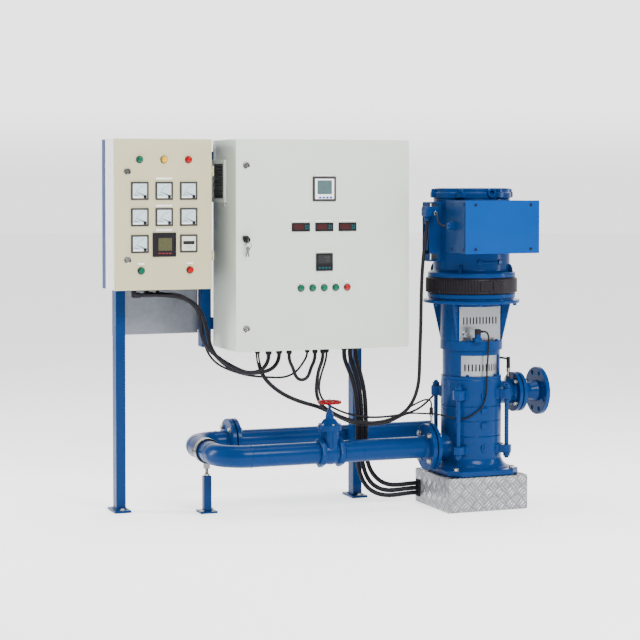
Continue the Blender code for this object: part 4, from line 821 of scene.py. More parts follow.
def small_display(kit, x, y, z):
    """A 77 x 35 mm digital indicator with a red window and four teal keys."""
    squares = [plate(0.0062, 0.0062, 0.0008, 0.0205 + 0.0092 * column, 0.0050 - 0.0100 * row, 0.0048, 0.0003)
               for column in range(2) for row in range(2)]
    put_faced(kit, x, y, z,
              (BLACK, bezel(0.077, 0.035, 0.0058, 0.0022, 0.0010, 0.0010)),
              (RED_WINDOW, plate(0.044, 0.0215, 0.0004, -0.0105, 0.0012, 0.0048, 0.0001)),
              (TEAL, together(*squares)))


def controller(kit, x, y, z):
    """A 72 mm controller with a dark two-line display and four teal keys."""
    put_faced(kit, x, y, z,
              (BLACK, bezel(0.072, 0.072, 0.0076, 0.0026, 0.0010, 0.0012)),
              (DARK_WINDOW, plate(0.058, 0.034, 0.0004, z=0.0120, lift=0.0066, soft=0.0001)),
              (METER_RIM, together(plate(0.022, 0.0075, 0.0002, 0.010, 0.0185, 0.0070),
                                   plate(0.016, 0.0055, 0.0002, 0.012, 0.0060, 0.0070))),
              (TEAL, keys(0.0085, 0.0070, 0.0010, -0.0215, 0.0143, -0.0235, 0.0066)))


def lamp(kit, x, y, z, lens, flat=False):
    """A 22 mm pilot lamp: a bezel ring, a domed lens or flat button, and a barrel with its nut behind the door."""
    top = mm("12.2,5 12.2,12 11,13.6 0,14" if flat else "13,5 12.8,9 10.8,12.8 6.4,15 0,15.6")
    put_faced(kit, x, y, z,
              (METER_RIM, turned(mm("0,0 15,0 15,4 14.2,6.6 13.2,6.6 13.2,4 0,4"), 40, soft=0.0004)),
              (lens, turned(mm("0,3.5 12.8,3.5") + top, 40, soft=0.0006)))
    inside = (x, y + SHEET_BACK, z)
    kit.put(BLACK, rod(inside, (x, y + 0.038, z), 0.0100, 28, 0.0010))
    kit.put(METER_LIP, rod(inside, (x, y + 0.0080, z), 0.0138, 12, 0.0008))


def quarter_lock(kit, x, y, z, turn_deg):
    """A slotted quarter-turn lock in a nickel-plated ring."""
    halves = [block((-0.0096, low, 0.0), (0.0096, low + 0.008, 0.0026), 0.0005) for low in (0.0014, -0.0094)]
    ring_face = turned(mm("10.8,0 14.5,0 14.5,3 13,4.4 10.8,3.6 10.8,0"), 40, soft=0.0004)
    put_faced(kit, x, y, z,
              (CHROME, together(ring_face, moved(together(*halves), spin(turn_deg) @ Matrix.Scale(0.80, 4)))),
              (BLACK, rod((0, 0, 0), (0, 0, 0.0012), 0.0109, 24)))


def label_strip(kit, x, y, z, width, height=0.008):
    """A bare white strip."""
    put_faced(kit, x, y, z, (WHITE, plate(width, height, 0.0007, soft=0.0002)))


def housing(kit, x, y, z, width, height, depth):
    """An instrument's case, clip and two terminals, behind the door sheet."""
    half, inside = width / 2, y + SHEET_BACK
    kit.put(BLACK, block((x - half, inside, z - height / 2), (x + half, y + depth, z + height / 2), 0.002),
            block((x - half - 0.003, inside, z - 0.007), (x + half + 0.003, inside + 0.008, z + 0.007), 0.0008))
    for side in (-0.25, 0.25):
        place = x + side * width
        kit.put(ZINC, rod((place, y + depth - 0.001, z), (place, y + depth + 0.006, z), 0.0028, 20, 0.0005))


def lock_cam(kit, x, y, z):
    """A lock's barrel with its cam turned down, behind the door sheet."""
    kit.put(ZINC, rod((x, y + SHEET_BACK, z), (x, y + 0.0170, z), 0.0085, 28, 0.0008),
            block((x - 0.0085, y + 0.0165, z - 0.036), (x + 0.0085, y + 0.0195, z + 0.0085), 0.0010))


def cabinet_shell(name, low, high, lip, finish):
    """A folded steel box, open at the front, with a rain lip round its opening."""
    (left, front, bottom), (right, _, top) = low, high
    edge = border((left + SHEET, front + 0.002, bottom + SHEET), (right - SHEET, front + 0.004, top - SHEET), lip)
    show(f"{name}_body", together(pan(low, high, SHEET, -1, SHEET), edge), finish, f"{name}_shell")


def cabinet_door(left, right, bottom, y):
    """A folded door sheet, open at the back."""
    return pan((left, y, bottom), (right, y + DOOR_DEPTH, CABINET_TOP), SHEET, 1, 0.0030)


def make_small_cabinet():
    """The small cabinet with its hinges, and its door with meters and lamps."""
    left, right, bottom, top = -0.902, -0.502, 0.915, CABINET_TOP
    y, back, front = SMALL_DOOR_Y, 0.1565, SMALL_DOOR_Y + 0.0215
    cabinet_shell("small_cabinet", (left, front, bottom), (right, back, top), 0.012, SHELL)
    kit = Kit("small_cabinet")
    hinge, hinge_heights = (-0.4955, 0.0145), (1.048, 1.388)
    outer = hinge[0] + 0.0042
    for z in hinge_heights:
        for low, high in ((z - 0.0198, z - 0.0067), (z + 0.0067, z + 0.0198)):
            kit.put(BEIGE, rod((*hinge, low), (*hinge, high), 0.0044, 24, 0.0008),
                    block((right - 0.001, front + 0.004, low), (outer, front + 0.018, high), 0.0010),
                    block((hinge[0] - 0.0001, hinge[1], low), (outer, front + 0.017, high), 0.0010))
        kit.put(BLACK, rod((*hinge, z - 0.0199), (*hinge, z + 0.0199), 0.0021, 20, 0.0004))
    kit.show()
    show("small_cabinet_back_frame", border((left, back + 0.0003, bottom), (right, 0.2115, top), 0.030, 0.0015),
         TUBE_BLUE, "small_cabinet_spacer")

    knuckles = []
    for z in hinge_heights:
        knuckles += [rod((*hinge, z - 0.006), (*hinge, z + 0.006), 0.0044, 24, 0.0008),
                     block((right - 0.001, hinge[1] - 0.0044, z - 0.006), (hinge[0], hinge[1] + 0.002, z + 0.006),
                           0.001)]
    show("small_door_panel", together(cabinet_door(left, right, bottom, y), *knuckles), BEIGE, "small_cabinet_door",
         "small_cabinet_door")
    kit = Kit("small_door", "small_cabinet_door")
    kit.put(GASKET, border((left + 0.006, y + 0.0045, bottom + 0.006), (right - 0.006, y + 0.0185, top - 0.006),
                           0.009, 0.002))
    xs, zs = (-0.801, -0.701, -0.600), (1.309, 1.205, 1.099)
    for z in zs:
        for x in xs:
            if z != zs[2] or x == xs[0]:
                pointer_meter(kit, x, y, z)
                housing(kit, x, y, z, 0.064, 0.064, 0.044)
    dark_power_meter(kit, xs[1], y, zs[2] - 0.004)
    hour_counter(kit, xs[2], y, zs[2])
    housing(kit, xs[1], y, zs[2] - 0.004, 0.088, 0.088, 0.056)
    housing(kit, xs[2], y, zs[2], 0.064, 0.064, 0.040)
    for x, lens in zip(xs, (GREEN_LENS, AMBER_LENS, RED_LENS)):
        lamp(kit, x, y, 1.433, lens)
    for x, lens in ((xs[0] + 0.005, GREEN_LENS), (xs[2] + 0.005, RED_LENS)):
        lamp(kit, x, y, 0.993, lens, flat=True)
        label_strip(kit, x, y, 1.020, 0.026, 0.006)
    for z in (1.358, 1.250, 1.153):
        label_strip(kit, xs[1], y, z, 0.066)
    for z, turn_deg in ((1.386, 50), (1.036, 0)):
        quarter_lock(kit, -0.851, y, z, turn_deg)
        lock_cam(kit, -0.851, y, z)
    kit.show()

    kit = Kit("small_entry")
    turn_z = 0.893
    for x, place, radius in mm("-815,50,11.5 -755,80,11.5 -700,110,8"):
        wide = radius * 0.98
        kit.put(BLACK, rod((x, place, bottom - 0.002), (x, place, turn_z - radius * 0.6), wide, 40, 0.001),
                rod((x - radius * 0.5, place, turn_z), (x + 0.018, place, turn_z), wide, 40, 0.002),
                turned([(0, 0), (wide, 0), (wide, 0.007), (radius * 0.72, 0.0125), (0, 0.0125)], 40,
                       (x + 0.0170, place, turn_z), RIGHT, 0.0008))
    show("small_entry_plate", block((-0.850, 0.035, bottom - 0.0035), (-0.660, 0.130, bottom - 0.0003), 0.0008),
         BLACK, "small_gland_plate")
    kit.show()


MAIN_GLANDS = mm("-280.5,92,11.5 -252.5,34,13.5 -197.2,62,13.5 -165.2,30,12 -67.6,80,11 -52.1,30,12 -21.2,20,12 "
                 "6,48,11 105,100,12.5 131,100,12.5 157,100,12.5")


def gland(x, y, top, radius):
    """A cable gland that points down: a hexagon, then a ribbed dome nut."""
    hexagon_part = turned([(0, 0), (radius, 0), (radius, 0.007), (0, 0.007)], 6, (x, y, top - 0.007), soft=0.0006)
    dome = turned([(0, 0), (radius * 0.92, 0), (radius * 0.92, -0.009), (radius * 0.70, -0.0140), (0, -0.0140)], 40,
                  (x, y, top - 0.0090), soft=0.001)
    ribs = around(12, 0.0, block, (radius * 0.86, -0.0008, -0.008), (radius * 0.985, 0.0008, 0.0))
    return together(hexagon_part, dome, moved(ribs, slide((x, y, top - 0.0095))),
                    rod((x, y, top - 0.010), (x, y, top - 0.006), radius * 0.8, 32))


def make_main_cabinet():
    """The main cabinet: backboard, vent and glands, and a door with displays, lamps and the locked handle."""
    left, right, bottom, top = -0.433, 0.317, 0.665, CABINET_TOP
    y, front, back = MAIN_DOOR_Y, MAIN_DOOR_Y + 0.022, 0.2115
    cabinet_shell("main_cabinet", (left, front, bottom), (right, back, top), 0.014, GREY)
    hinge_x, hinge_y = hinge = (0.311, -0.080)
    hinge_heights = (0.800, 1.090, 1.380)
    kit = Kit("main_cabinet")
    for z in hinge_heights:
        low, high = z - 0.0198, z + 0.0198
        kit.put(GREY, rod((*hinge, low), (*hinge, high), 0.0034, 24, 0.0006),
                block((hinge_x - 0.0034, hinge_y, low), (hinge_x + 0.0034, front + 0.010, high), 0.0006),
                block((hinge_x - 0.0034, front + 0.010, low), (right - 0.0012, front + 0.030, high), 0.0006))
    kit.show()

    board_y = 0.185
    studs = [rod((x, board_y + 0.001, z), (x, back - 0.0029, z), 0.006, 20, 0.0005)
             for x in (left + 0.06, right - 0.06) for z in (0.73, 1.45)]
    board = block((left + 0.033, board_y, bottom + 0.035), (right - 0.032, board_y + 0.003, top - 0.035), 0.0008)
    show("main_backboard", together(board, *studs), ZINC_SHEET, "main_mounting_plate")

    notches = [block((hinge_x + 0.001, y + SHEET, z - 0.028), (right + 0.01, y + 0.030, z + 0.028))
               for z in hinge_heights]
    show("main_door_panel", cut(cabinet_door(left, right, bottom, y), *notches), GREY, "main_cabinet_door",
         "main_cabinet_door")
    kit = Kit("main_door", "main_cabinet_door")
    kit.put(GASKET, border((left + 0.008, y + 0.0045, bottom + 0.008), (right - 0.030, y + 0.0185, top - 0.008),
                           0.010, 0.002))
    middle = -0.057
    white_power_meter(kit, middle, y, 1.316)
    housing(kit, middle, y, 1.316, 0.090, 0.090, 0.056)
    housing(kit, middle, y, 1.020, 0.068, 0.068, 0.062)
    for x in (-0.158, middle, 0.044):
        small_display(kit, x, y, 1.162)
        housing(kit, x, y, 1.162, 0.070, 0.028, 0.060)
        label_strip(kit, x, y, 1.187, 0.070, 0.006)
    label_strip(kit, middle, y, 1.3705, 0.072, 0.006)
    controller(kit, middle, y, 1.020)
    label_strip(kit, middle, y, 1.0620, 0.060, 0.005)
    for x in (-0.157, -0.107, middle, -0.007, 0.043):
        lamp(kit, x, y, 0.916, RED_LENS if x == 0.043 else GREEN_LENS)
        label_strip(kit, x, y, 0.9405, 0.020, 0.005)
    lock_x, handle_z = -0.389, 1.115
    quarter_lock(kit, lock_x, y, 1.410, 40)
    quarter_lock(kit, lock_x, y, 0.757, 10)
    for z in (1.410, handle_z, 0.757):
        lock_cam(kit, lock_x, y, z)
    kit.show()

    face = (lock_x, y - 0.0003)
    base = facing(turned(mm("0,0 14.2,0 14.2,5 12.8,7 0,7"), 40, soft=0.0008), *face, handle_z)
    barrel = facing(turned(mm("0,5 11.2,5 11.2,20 9.6,22.6 0,22.6"), 40, soft=0.0008), *face, handle_z - 0.001)
    wing = facing(block((-0.0190, 0.0010, 0.006), (0.004, 0.0150, 0.0150), 0.003, 3), *face, handle_z)
    show("main_lock_handle", together(base, barrel, wing), BLACK, "main_door_handle", "main_cabinet_door")
    key_ring = facing(turned(mm("11.2,0 12.4,1.2 13.6,0 12.4,-1.2 11.2,0"), 48, soft=0), lock_x + 0.0015,
                      face[1] - 0.0205, handle_z - 0.0235)
    blades = []
    for lean, lift in ((-14, 0.0212), (9, 0.0190)):
        blade = prism(mm("-3,-7.5 -3,-30 0.5,-33.5 3,-31 1.6,-27 3,-23 1.6,-18 3,-7.5"), 0.0, 0.0015, 0.0003)
        key = together(turned(mm("3,0 8.8,0 8.8,1.5 3,1.5 3,0"), 32, soft=0.0003), blade)
        blades.append(facing(moved(key, spin(lean)), lock_x - 0.0005, face[1] - lift, handle_z - 0.0370))
    plug = facing(block((-0.0016, -0.0150, 0.0220), (0.0016, 0.0060, 0.0240), 0.0005), *face, handle_z - 0.001)
    kit = Kit("main_lock", "main_cabinet_door")
    kit.put(CHROME, key_ring, plug, *blades)
    kit.show()

    kit = Kit("main_vent")
    outer, inner = left - 0.0123, left - 0.0003
    kit.put(GREY, swapped(border((0.025, outer, 1.261), (0.195, inner, 1.433), 0.016, 0.002), 0, 1))
    slats = [moved(block((0.040, -0.0045, -0.0006), (0.180, 0.0045, 0.0006), 0.0003),
                   slide((0, left - 0.0062, 1.284 + 0.0105 * index)) @ spin(38, "X")) for index in range(13)]
    back_plate = block((0.038, left - 0.0018, 1.274), (0.182, left - 0.0004, 1.420), 0.0003)
    show("main_vent_grille", swapped(together(*slats, back_plate), 0, 1), LOUVRE, "main_vent_filter")
    kit.put(METER_LIP, rod((outer, 0.0340, 1.2525), (inner, 0.0340, 1.2525), 0.0088, 32, 0.0012))
    kit.show()

    kit = Kit("main_entry")
    under = bottom - 0.0034
    show("main_entry_plate", block((-0.330, 0.005, bottom - 0.0035), (0.195, 0.130, bottom - 0.0003), 0.0008), BLACK,
         "main_gland_plate")
    kit.put(BLACK, *(gland(x, place, under, radius) for x, place, radius in MAIN_GLANDS))
    kit.put(ZINC, *(hexagon((x, place, under), DOWN, 0.008, 0.003) for x in (-0.322, 0.187)
                    for place in (0.014, 0.121)))
    kit.show()


def swapped(shape, first, second):
    """A shape with two of its axes exchanged."""
    for vert in shape.verts:
        vert.co[first], vert.co[second] = vert.co[second], vert.co[first]
    bmesh.ops.reverse_faces(shape, faces=shape.faces)
    return shape


# Stand

def make_stand():
    """Two legs on feet, a middle upright, two rails and a back sheet of square tube and zinc sheet."""
    top, near, rail_y, far = 1.500, 0.2118, 0.2718, 0.3018
    post_back, middle, bolts = 0.2715, 0.2415, []
    for name, x in (("stand_left_leg", -0.826), ("stand_right_leg", 0.211)):
        post = block((x - 0.020, near, 0.009), (x + 0.020, post_back, top), 0.0035, 3)
        foot = block((x - 0.035, middle - 0.060, 0.0), (x + 0.035, middle + 0.060, 0.010), 0.0015)
        weld = border((x - 0.0245, 0.0095, middle - 0.0345), (x + 0.0245, 0.0130, middle + 0.0345), 0.0050, 0.0016)
        show(f"{name}_tube", together(post, foot, swapped(weld, 1, 2)), TUBE_BLUE, name)
        bolts += [hexagon((x, middle + side * 0.048, 0.010), UP, 0.015, 0.0065) for side in (-1, 1)]
    show("stand_foot_bolts", together(*bolts), ZINC)
    for name, node, low, high, soft in (
            ("mid", "mid_upright", (-0.481, near, 0.662), (-0.441, post_back, top), 0.0035),
            ("top", "top_rail", (-0.846, rail_y, 1.420), (0.231, far, 1.470), 0.0030),
            ("lower", "lower_rail", (-0.4807, rail_y, 0.730), (0.231, far, 0.780), 0.0030)):
        show(f"stand_{name}_tube", block(low, high, soft, 3), TUBE_BLUE, f"stand_{node}")
    caps = [block((x - 0.0175, 0.2143, top - 0.0035), (x + 0.0175, 0.2690, top - 0.0001), 0.0012)
            for x in (-0.826, -0.461, 0.211)]
    caps += [block((x - 0.0009, 0.2745, 1.4225), (x + 0.0009, 0.2990, 1.4675), 0.0005) for x in (-0.8450, 0.2300)]
    show("stand_caps", together(*caps), BLACK)
    # The back sheet takes the darker zinc, painted shade from the small cabinet above it
    show("stand_zinc_sheet", block((-0.846, rail_y, 0.718), (-0.4813, 0.2733, 1.400), 0.0004), SHADED_ZINC_SHEET,
         "stand_back_sheet")
    show("stand_sheet_screws", together(*(hexagon((x, 0.2733, z), (0, 1, 0), 0.009, 0.004)
                                          for x in (-0.826, -0.500) for z in (0.80, 1.06, 1.33))), ZINC)


# Pump

def on_pump(*shapes):
    """Move shapes drawn about the pump's axis to the pump."""
    return moved(together(*shapes), slide(PUMP))


def tread_bar():
    """One raised bar of a tread plate."""
    height, end_factor, side_factor = 0.00105, 0.86, 0.45
    bar = prism(mm("-17.25,0 -9.4875,-3.2 9.4875,-3.2 17.25,0 9.4875,3.2 -9.4875,3.2"), 0.0, height)
    for vert in bar.verts:
        if vert.co.z > height / 2:
            vert.co.x *= end_factor
            vert.co.y *= side_factor
    return bar


def tread_face(across, up, hole=0.0):
    """A slanted basket weave of threes of bars over a rectangle, lying flat about the origin."""
    pitch, spacing, reach, edge = 0.0360, 0.0115, 0.015, 0.0025
    bars = []
    slant = spin(45)
    far = math.ceil((across + up) / 2 / pitch)
    for row in range(-far, far + 1):
        for column in range(-far, far + 1):
            place = slant @ Vector((column * pitch, row * pitch, 0.0))
            wide, high = abs(place.x), abs(place.y)
            if wide > across / 2 + reach or high > up / 2 + reach or max(wide, high) < hole:
                continue
            turn = slide(place) @ slant @ spin(90 if (row + column) % 2 else 0)
            bars += [moved(tread_bar(), turn @ slide((0, beside, 0))) for beside in (-spacing, 0.0, spacing)]
    sheet = together(*bars)
    for out, size in ((RIGHT, across), (LEFT, across), ((0, 1, 0), up), (FRONT, up)):
        bmesh.ops.bisect_plane(sheet, geom=sheet.verts[:] + sheet.edges[:] + sheet.faces[:], clear_outer=True,
                               plane_co=Vector(out) * (size / 2 - edge), plane_no=out)
        bmesh.ops.holes_fill(sheet, edges=[line for line in sheet.edges if line.is_boundary])
    return sheet


def make_plinth():
    """The plinth's sheet box with tread bars on five sides, and the rubber entry of its cables."""
    wide, deep, high, skin = 0.358, 0.336, 0.141, 0.0011
    box = block((-wide / 2 + skin, -deep / 2 + skin, 0.0), (wide / 2 - skin, deep / 2 - skin, high - skin), 0.0016, 3)
    sides = []
    for across, reach, turn in ((wide, deep, 0), (deep, wide, 90), (wide, deep, 180), (deep, wide, 270)):
        out = slide((0, -reach / 2 + skin, high / 2)) @ spin(90, "X")
        sides.append(moved(tread_face(across, high), spin(turn) @ out))
    sides.append(moved(tread_face(wide, deep, 0.150), slide((0, 0, high - skin))))
    show("plinth_tread_plate", on_pump(box), TREAD, "plinth")
    show("plinth_tread_bars", on_pump(*sides), TREAD_BAR, sharp=20)
    collar = block((-wide / 2 - 0.004, 0.118, 0.024), (-wide / 2 + 0.002, 0.158, 0.096), 0.0035)
    show("plinth_cable_entry", on_pump(collar), GASKET)


def lug(low, high):
    """One ear on the barrel that a tie rod passes through, with its wider root."""
    return together(prism(mm("108,-23.5 158,-23.5 173.5,-12 173.5,12 158,23.5 108,23.5"), low, high, 0.0030, 3),
                    prism(mm("110,-36 132,-29 132,29 110,36"), low - 0.003, high + 0.003, 0.0030))


def pipe_flange(face, away, z, radius, thick, raised, bore_hub):
    """A flange disc across X with a raised joint face and a welded hub."""
    profile = [(0, 0), (raised, 0), (raised, 0.0022), (radius, 0.0026), (radius, thick), (bore_hub + 0.006, thick),
               (bore_hub, thick + 0.010), (0, thick + 0.010)]
    return turned(profile, 96, (face, 0, z), (away, 0, 0), 0.0012)


def flange_bolts(face, away, z, circle, thick, across, both_ends=False):
    """Four bolt heads on the back of a flange, and their shanks in the joint."""
    shapes = []
    for deg in (45, 135, 225, 315):
        y, height = circle * math.cos(math.radians(deg)), z + circle * math.sin(math.radians(deg))
        shapes.append(hexagon((face + away * thick, y, height), (away, 0, 0), across, across * 0.48))
        if both_ends:
            shapes.append(rod((face - 0.003, y, height), (face + 0.003, y, height), across * 0.30, 16))
    return together(*shapes)


def joint_gasket(x, z, radius):
    """A thin ring between two flanges."""
    return turned([(0, -0.0009), (radius, -0.0009), (radius, 0.0009), (0, 0.0009)], 64, (x, 0, z), RIGHT, 0.0002)


def threaded_plug(y, z, radius):
    """A round screwed plug with a square drive, facing the front."""
    disc = turned([(0, 0), (radius, 0), (radius, 0.009), (0, 0.009)], 48, (0, y + 0.009, z), FRONT, 0.0018)
    drive = block((-0.005, y - 0.0035, z - 0.005), (0.005, y + 0.001, z + 0.005), 0.0012)
    return together(disc, drive)


def make_pump_casings():
    """The foot, stage and discharge castings with their bolts and gaskets, and the four tie rods."""
    zinc = Kit("pump")
    foot = prism(mm("-160,-115 -115,-160 115,-160 160,-115 160,115 115,160 -115,160 -160,115"),
                 0.1413, 0.165, 0.0035, 3)
    flare = turned(mm("0,155 158,155 158,166.5 146,171.5 133,185 125,203 125,298 123.5,299 0,299"), 128, soft=0.0055)
    neck = turned(mm("0,95 66,95 54,125 52,140 52,165 0,165"), 64, (0, 0, PIPE_Z), LEFT, 0.010)
    disc = pipe_flange(-0.190, 1, PIPE_Z, 0.095, 0.018, 0.066, 0.0535)
    seat = block((-0.1885, -0.0100, PIPE_Z + 0.085), (-0.1740, 0.0100, 0.3495), 0.0025)
    show("pump_foot_cast", on_pump(foot, flare, neck, disc, threaded_plug(-0.131, PIPE_Z, 0.0145), seat,
                                   around(4, 45.0, lug, 0.228, 0.261)), CAST_BLUE, "pump_foot_casing")
    corners = [(x, y) for x in (-1, 1) for y in (-1, 1)]
    zinc.put(ZINC, *(on_pump(hexagon((x * 0.126, y * 0.126, 0.1645), UP, 0.019, 0.0105)) for x, y in corners),
             on_pump(flange_bolts(-0.190, 1, PIPE_Z, 0.073, 0.018, 0.019, True)))
    zinc.put(SEAL, on_pump(joint_gasket(-0.1902, PIPE_Z, 0.0665)))

    stage = turned(mm("0,299.3 123.2,299.3 125,301.2 125,360.2 123.2,361.4 123.2,362.6 125,363.8 125,420.2 123.2,422 "
                      "0,422"), 128, soft=0.0007)
    bosses = [block((-0.0145, near, z - 0.012), (0.0145, far, z + 0.012), 0.0022)
              for near, far in ((-0.1320, -0.115), (0.115, 0.1320)) for z in (0.345, 0.405)]
    show("pump_stage_cast", on_pump(stage, *bosses), CAST_BLUE, "pump_stage_casing")

    barrel = turned(mm("0,422.3 123.2,422.3 125,424 125,529 123.6,532 125,535 125,545 0,545"), 128, soft=0.0012)
    neck = turned(mm("0,95 62,95 50,125 48,140 48,180 0,180"), 64, (0, 0, OUTLET_Z), RIGHT, 0.010)
    disc = pipe_flange(0.205, -1, OUTLET_Z, 0.0825, 0.018, 0.058, 0.0495)
    seat = turned(mm("0,0 12.5,0 10,8 10,18 0,18"), 32, (0.172, 0, 0.5015), soft=0.001)
    show("pump_head_cast", on_pump(barrel, neck, disc, threaded_plug(-0.131, OUTLET_Z, 0.0145), seat,
                                   rod((0.172, 0, 0.486), (0.172, 0, 0.503), 0.010),
                                   around(4, 45.0, lug, 0.452, 0.492)),
         CAST_BLUE, "pump_discharge_casing")
    zinc.put(ZINC, on_pump(flange_bolts(0.205, -1, OUTLET_Z, 0.063, 0.018, 0.017, True)))
    zinc.put(SEAL, on_pump(joint_gasket(0.2052, OUTLET_Z, 0.0582)))

    for number, (x, y) in enumerate(mm("-110,-110 110,-110 110,110 -110,110"), start=1):
        nuts = [hexagon((x, y, z), way, 0.0248, 0.0125) for z, way in ((0.4925, UP), (0.2275, DOWN))]
        domes = [turned(mm("0,0 10,0 8.8,6 5,9.2 0,9.8"), 32, (x, y, z), way, 0.001)
                 for z, way in ((0.5055, UP), (0.2145, DOWN))]
        bar = rod((x, y, 0.206), (x, y, 0.512), 0.0088, 32, 0.002)
        show(f"tie_rod_{number}_painted", on_pump(bar, *nuts, *domes), CAST_BLUE, f"tie_rod_{number}")
    zinc.show()


def slotted_sheet(width, height, slot_wide, slot_low, slot_high, edge):
    """A flat sheet in X and Z with a row of eleven round-ended slots, its front at y = 0."""
    thick, slots, half = 0.0016, 11, slot_wide / 2
    pitch = (width - 2 * edge) / slots
    middles = [-width / 2 + edge + pitch * (index + 0.5) for index in range(slots)]
    columns = [-width / 2, *(x for middle in middles for x in (middle - half, middle, middle + half)), width / 2]
    rows = [0.0, slot_low, slot_low + half, slot_high - half, slot_high, height]
    shape = bmesh.new()
    points = [[shape.verts.new((x, 0.0, z)) for x in columns] for z in rows]
    # The corner that a slot's end leaves out, by row and by half of the slot
    missing = {(1, 0): 2, (1, 1): 3, (3, 0): 1, (3, 1): 0}
    for row in range(len(rows) - 1):
        for column in range(len(columns) - 1):
            low, high = points[row][column:column + 2], points[row + 1][column:column + 2]
            corners = [*low, *reversed(high)]
            side = (column - 1) % 3
            if side < 2 and 0 < column < len(columns) - 2 and row in (1, 2, 3):
                if row == 2:
                    continue
                corners.pop(missing[row, side])
            shape.faces.new(corners)
    bmesh.ops.recalc_face_normals(shape, faces=shape.faces)
    return raise_faces(shape, (0, thick, 0))


def wrapped(shape, radius):
    """Bend a flat sheet about +Z, its middle at the front."""
    for vert in shape.verts:
        angle = vert.co.x / radius - math.pi / 2
        reach = radius - vert.co.y
        vert.co.x, vert.co.y = reach * math.cos(angle), reach * math.sin(angle)
    return shape


def make_coupling_housings():
    """The bearing bracket and the motor's lantern, with slotted guards over their windows."""
    low, high, guard_radius, windows = 0.5453, 0.652, 0.1130, (-90.0, 90.0)
    core = turned([(0, low), (0.119, low), (0.119, high), (0, high)], 128, soft=0.0012)
    holes = [sector(0.1085, 0.140, 0.535, 0.632, side, WINDOW_HALF_DEG) for side in windows]
    bolts = spread((-123, -57, 57, 123), hexagon, (0.1155, 0, 0.5448), UP, 0.012, 0.0065)
    show("bearing_bracket_cast", on_pump(cut(core, *holes), *bolts), CAST_BLUE, "bearing_bracket", sharp=30)
    # Thin black sheets over the floors of the bracket's windows and the lantern's pockets: painted shade for the dark
    # inside of the coupling housings
    lining = [sector(0.1078, 0.1088, low + 0.0003, 0.6315, side, WINDOW_HALF_DEG - 0.4) for side in windows]
    show("coupling_painted_shade_inside", on_pump(*lining, block((-0.0915, -0.0811, 0.691), (0.0915, -0.0806, 0.831)),
                                         block((-0.0915, 0.0806, 0.691), (0.0915, 0.0811, 0.831))), BLACK)
    width = 2 * math.radians(WINDOW_HALF_DEG - 0.4) * guard_radius
    for name, turn in (("front", 0), ("back", 180)):
        guard = wrapped(slotted_sheet(width, 0.0855, 0.0062, 0.020, 0.052, 0.010), guard_radius)
        show(f"shaft_guard_{name}_sheet", on_pump(moved(guard, slide((0, 0, low + 0.0003)) @ spin(turn))), STEEL,
             f"shaft_guard_{name}", sharp=30)

    body = turned(mm("0,652.3 129,652.3 129,689 127.8,690 127.8,846 197,846 199,847 199,858 176,858 176,866 "
                     "181.5,867 181.5,884.5 0,884.5"), 128, soft=0.0016)
    pockets = [block((-0.0945, near, 0.690), (0.0945, far, 0.8325))
               for near, far in ((-0.16, -0.0805), (0.0805, 0.16))]
    ribs = [moved(prism(mm("115,690.5 130,690.5 165.5,846.5 115,846.5"), -0.005, 0.005, 0.0015),
                  spin(side + turn) @ spin(90, "X")) for side in windows for turn in (-52, 52)]
    bolts = [*spread((-122, -58, 58, 122), hexagon, (0.1225, 0, 0.6895), UP, 0.013, 0.007),
             *spread(range(15, 375, 60), hexagon, (0.1885, 0, 0.8455), DOWN, 0.014, 0.007)]
    show("motor_lantern_cast", on_pump(cut(body, *pockets), *ribs, *bolts), CAST_BLUE, "motor_lantern", sharp=30)
    for name, turn in (("front", 0), ("back", 180)):
        guard = slotted_sheet(0.1860, 0.1410, 0.0058, 0.0675, 0.0995, 0.0127)
        shapes = [moved(guard, slide((0, -0.0828, 0.6905)))]
        shapes += [rod((x, -0.0825, z), (x, -0.0852, z), 0.0048, 20, 0.0008)
                   for x in (-0.083, 0.083) for z in (0.700, 0.822)]
        if name == "front":
            shapes.append(turned(mm("0,0 12.5,0 13.5,10 11.5,14 0,14"), 40, (-0.066, -0.0826, 0.717), FRONT, 0.001))
        show(f"lantern_guard_{name}_sheet", on_pump(moved(together(*shapes), spin(turn))), STEEL,
             f"lantern_guard_{name}", sharp=30)


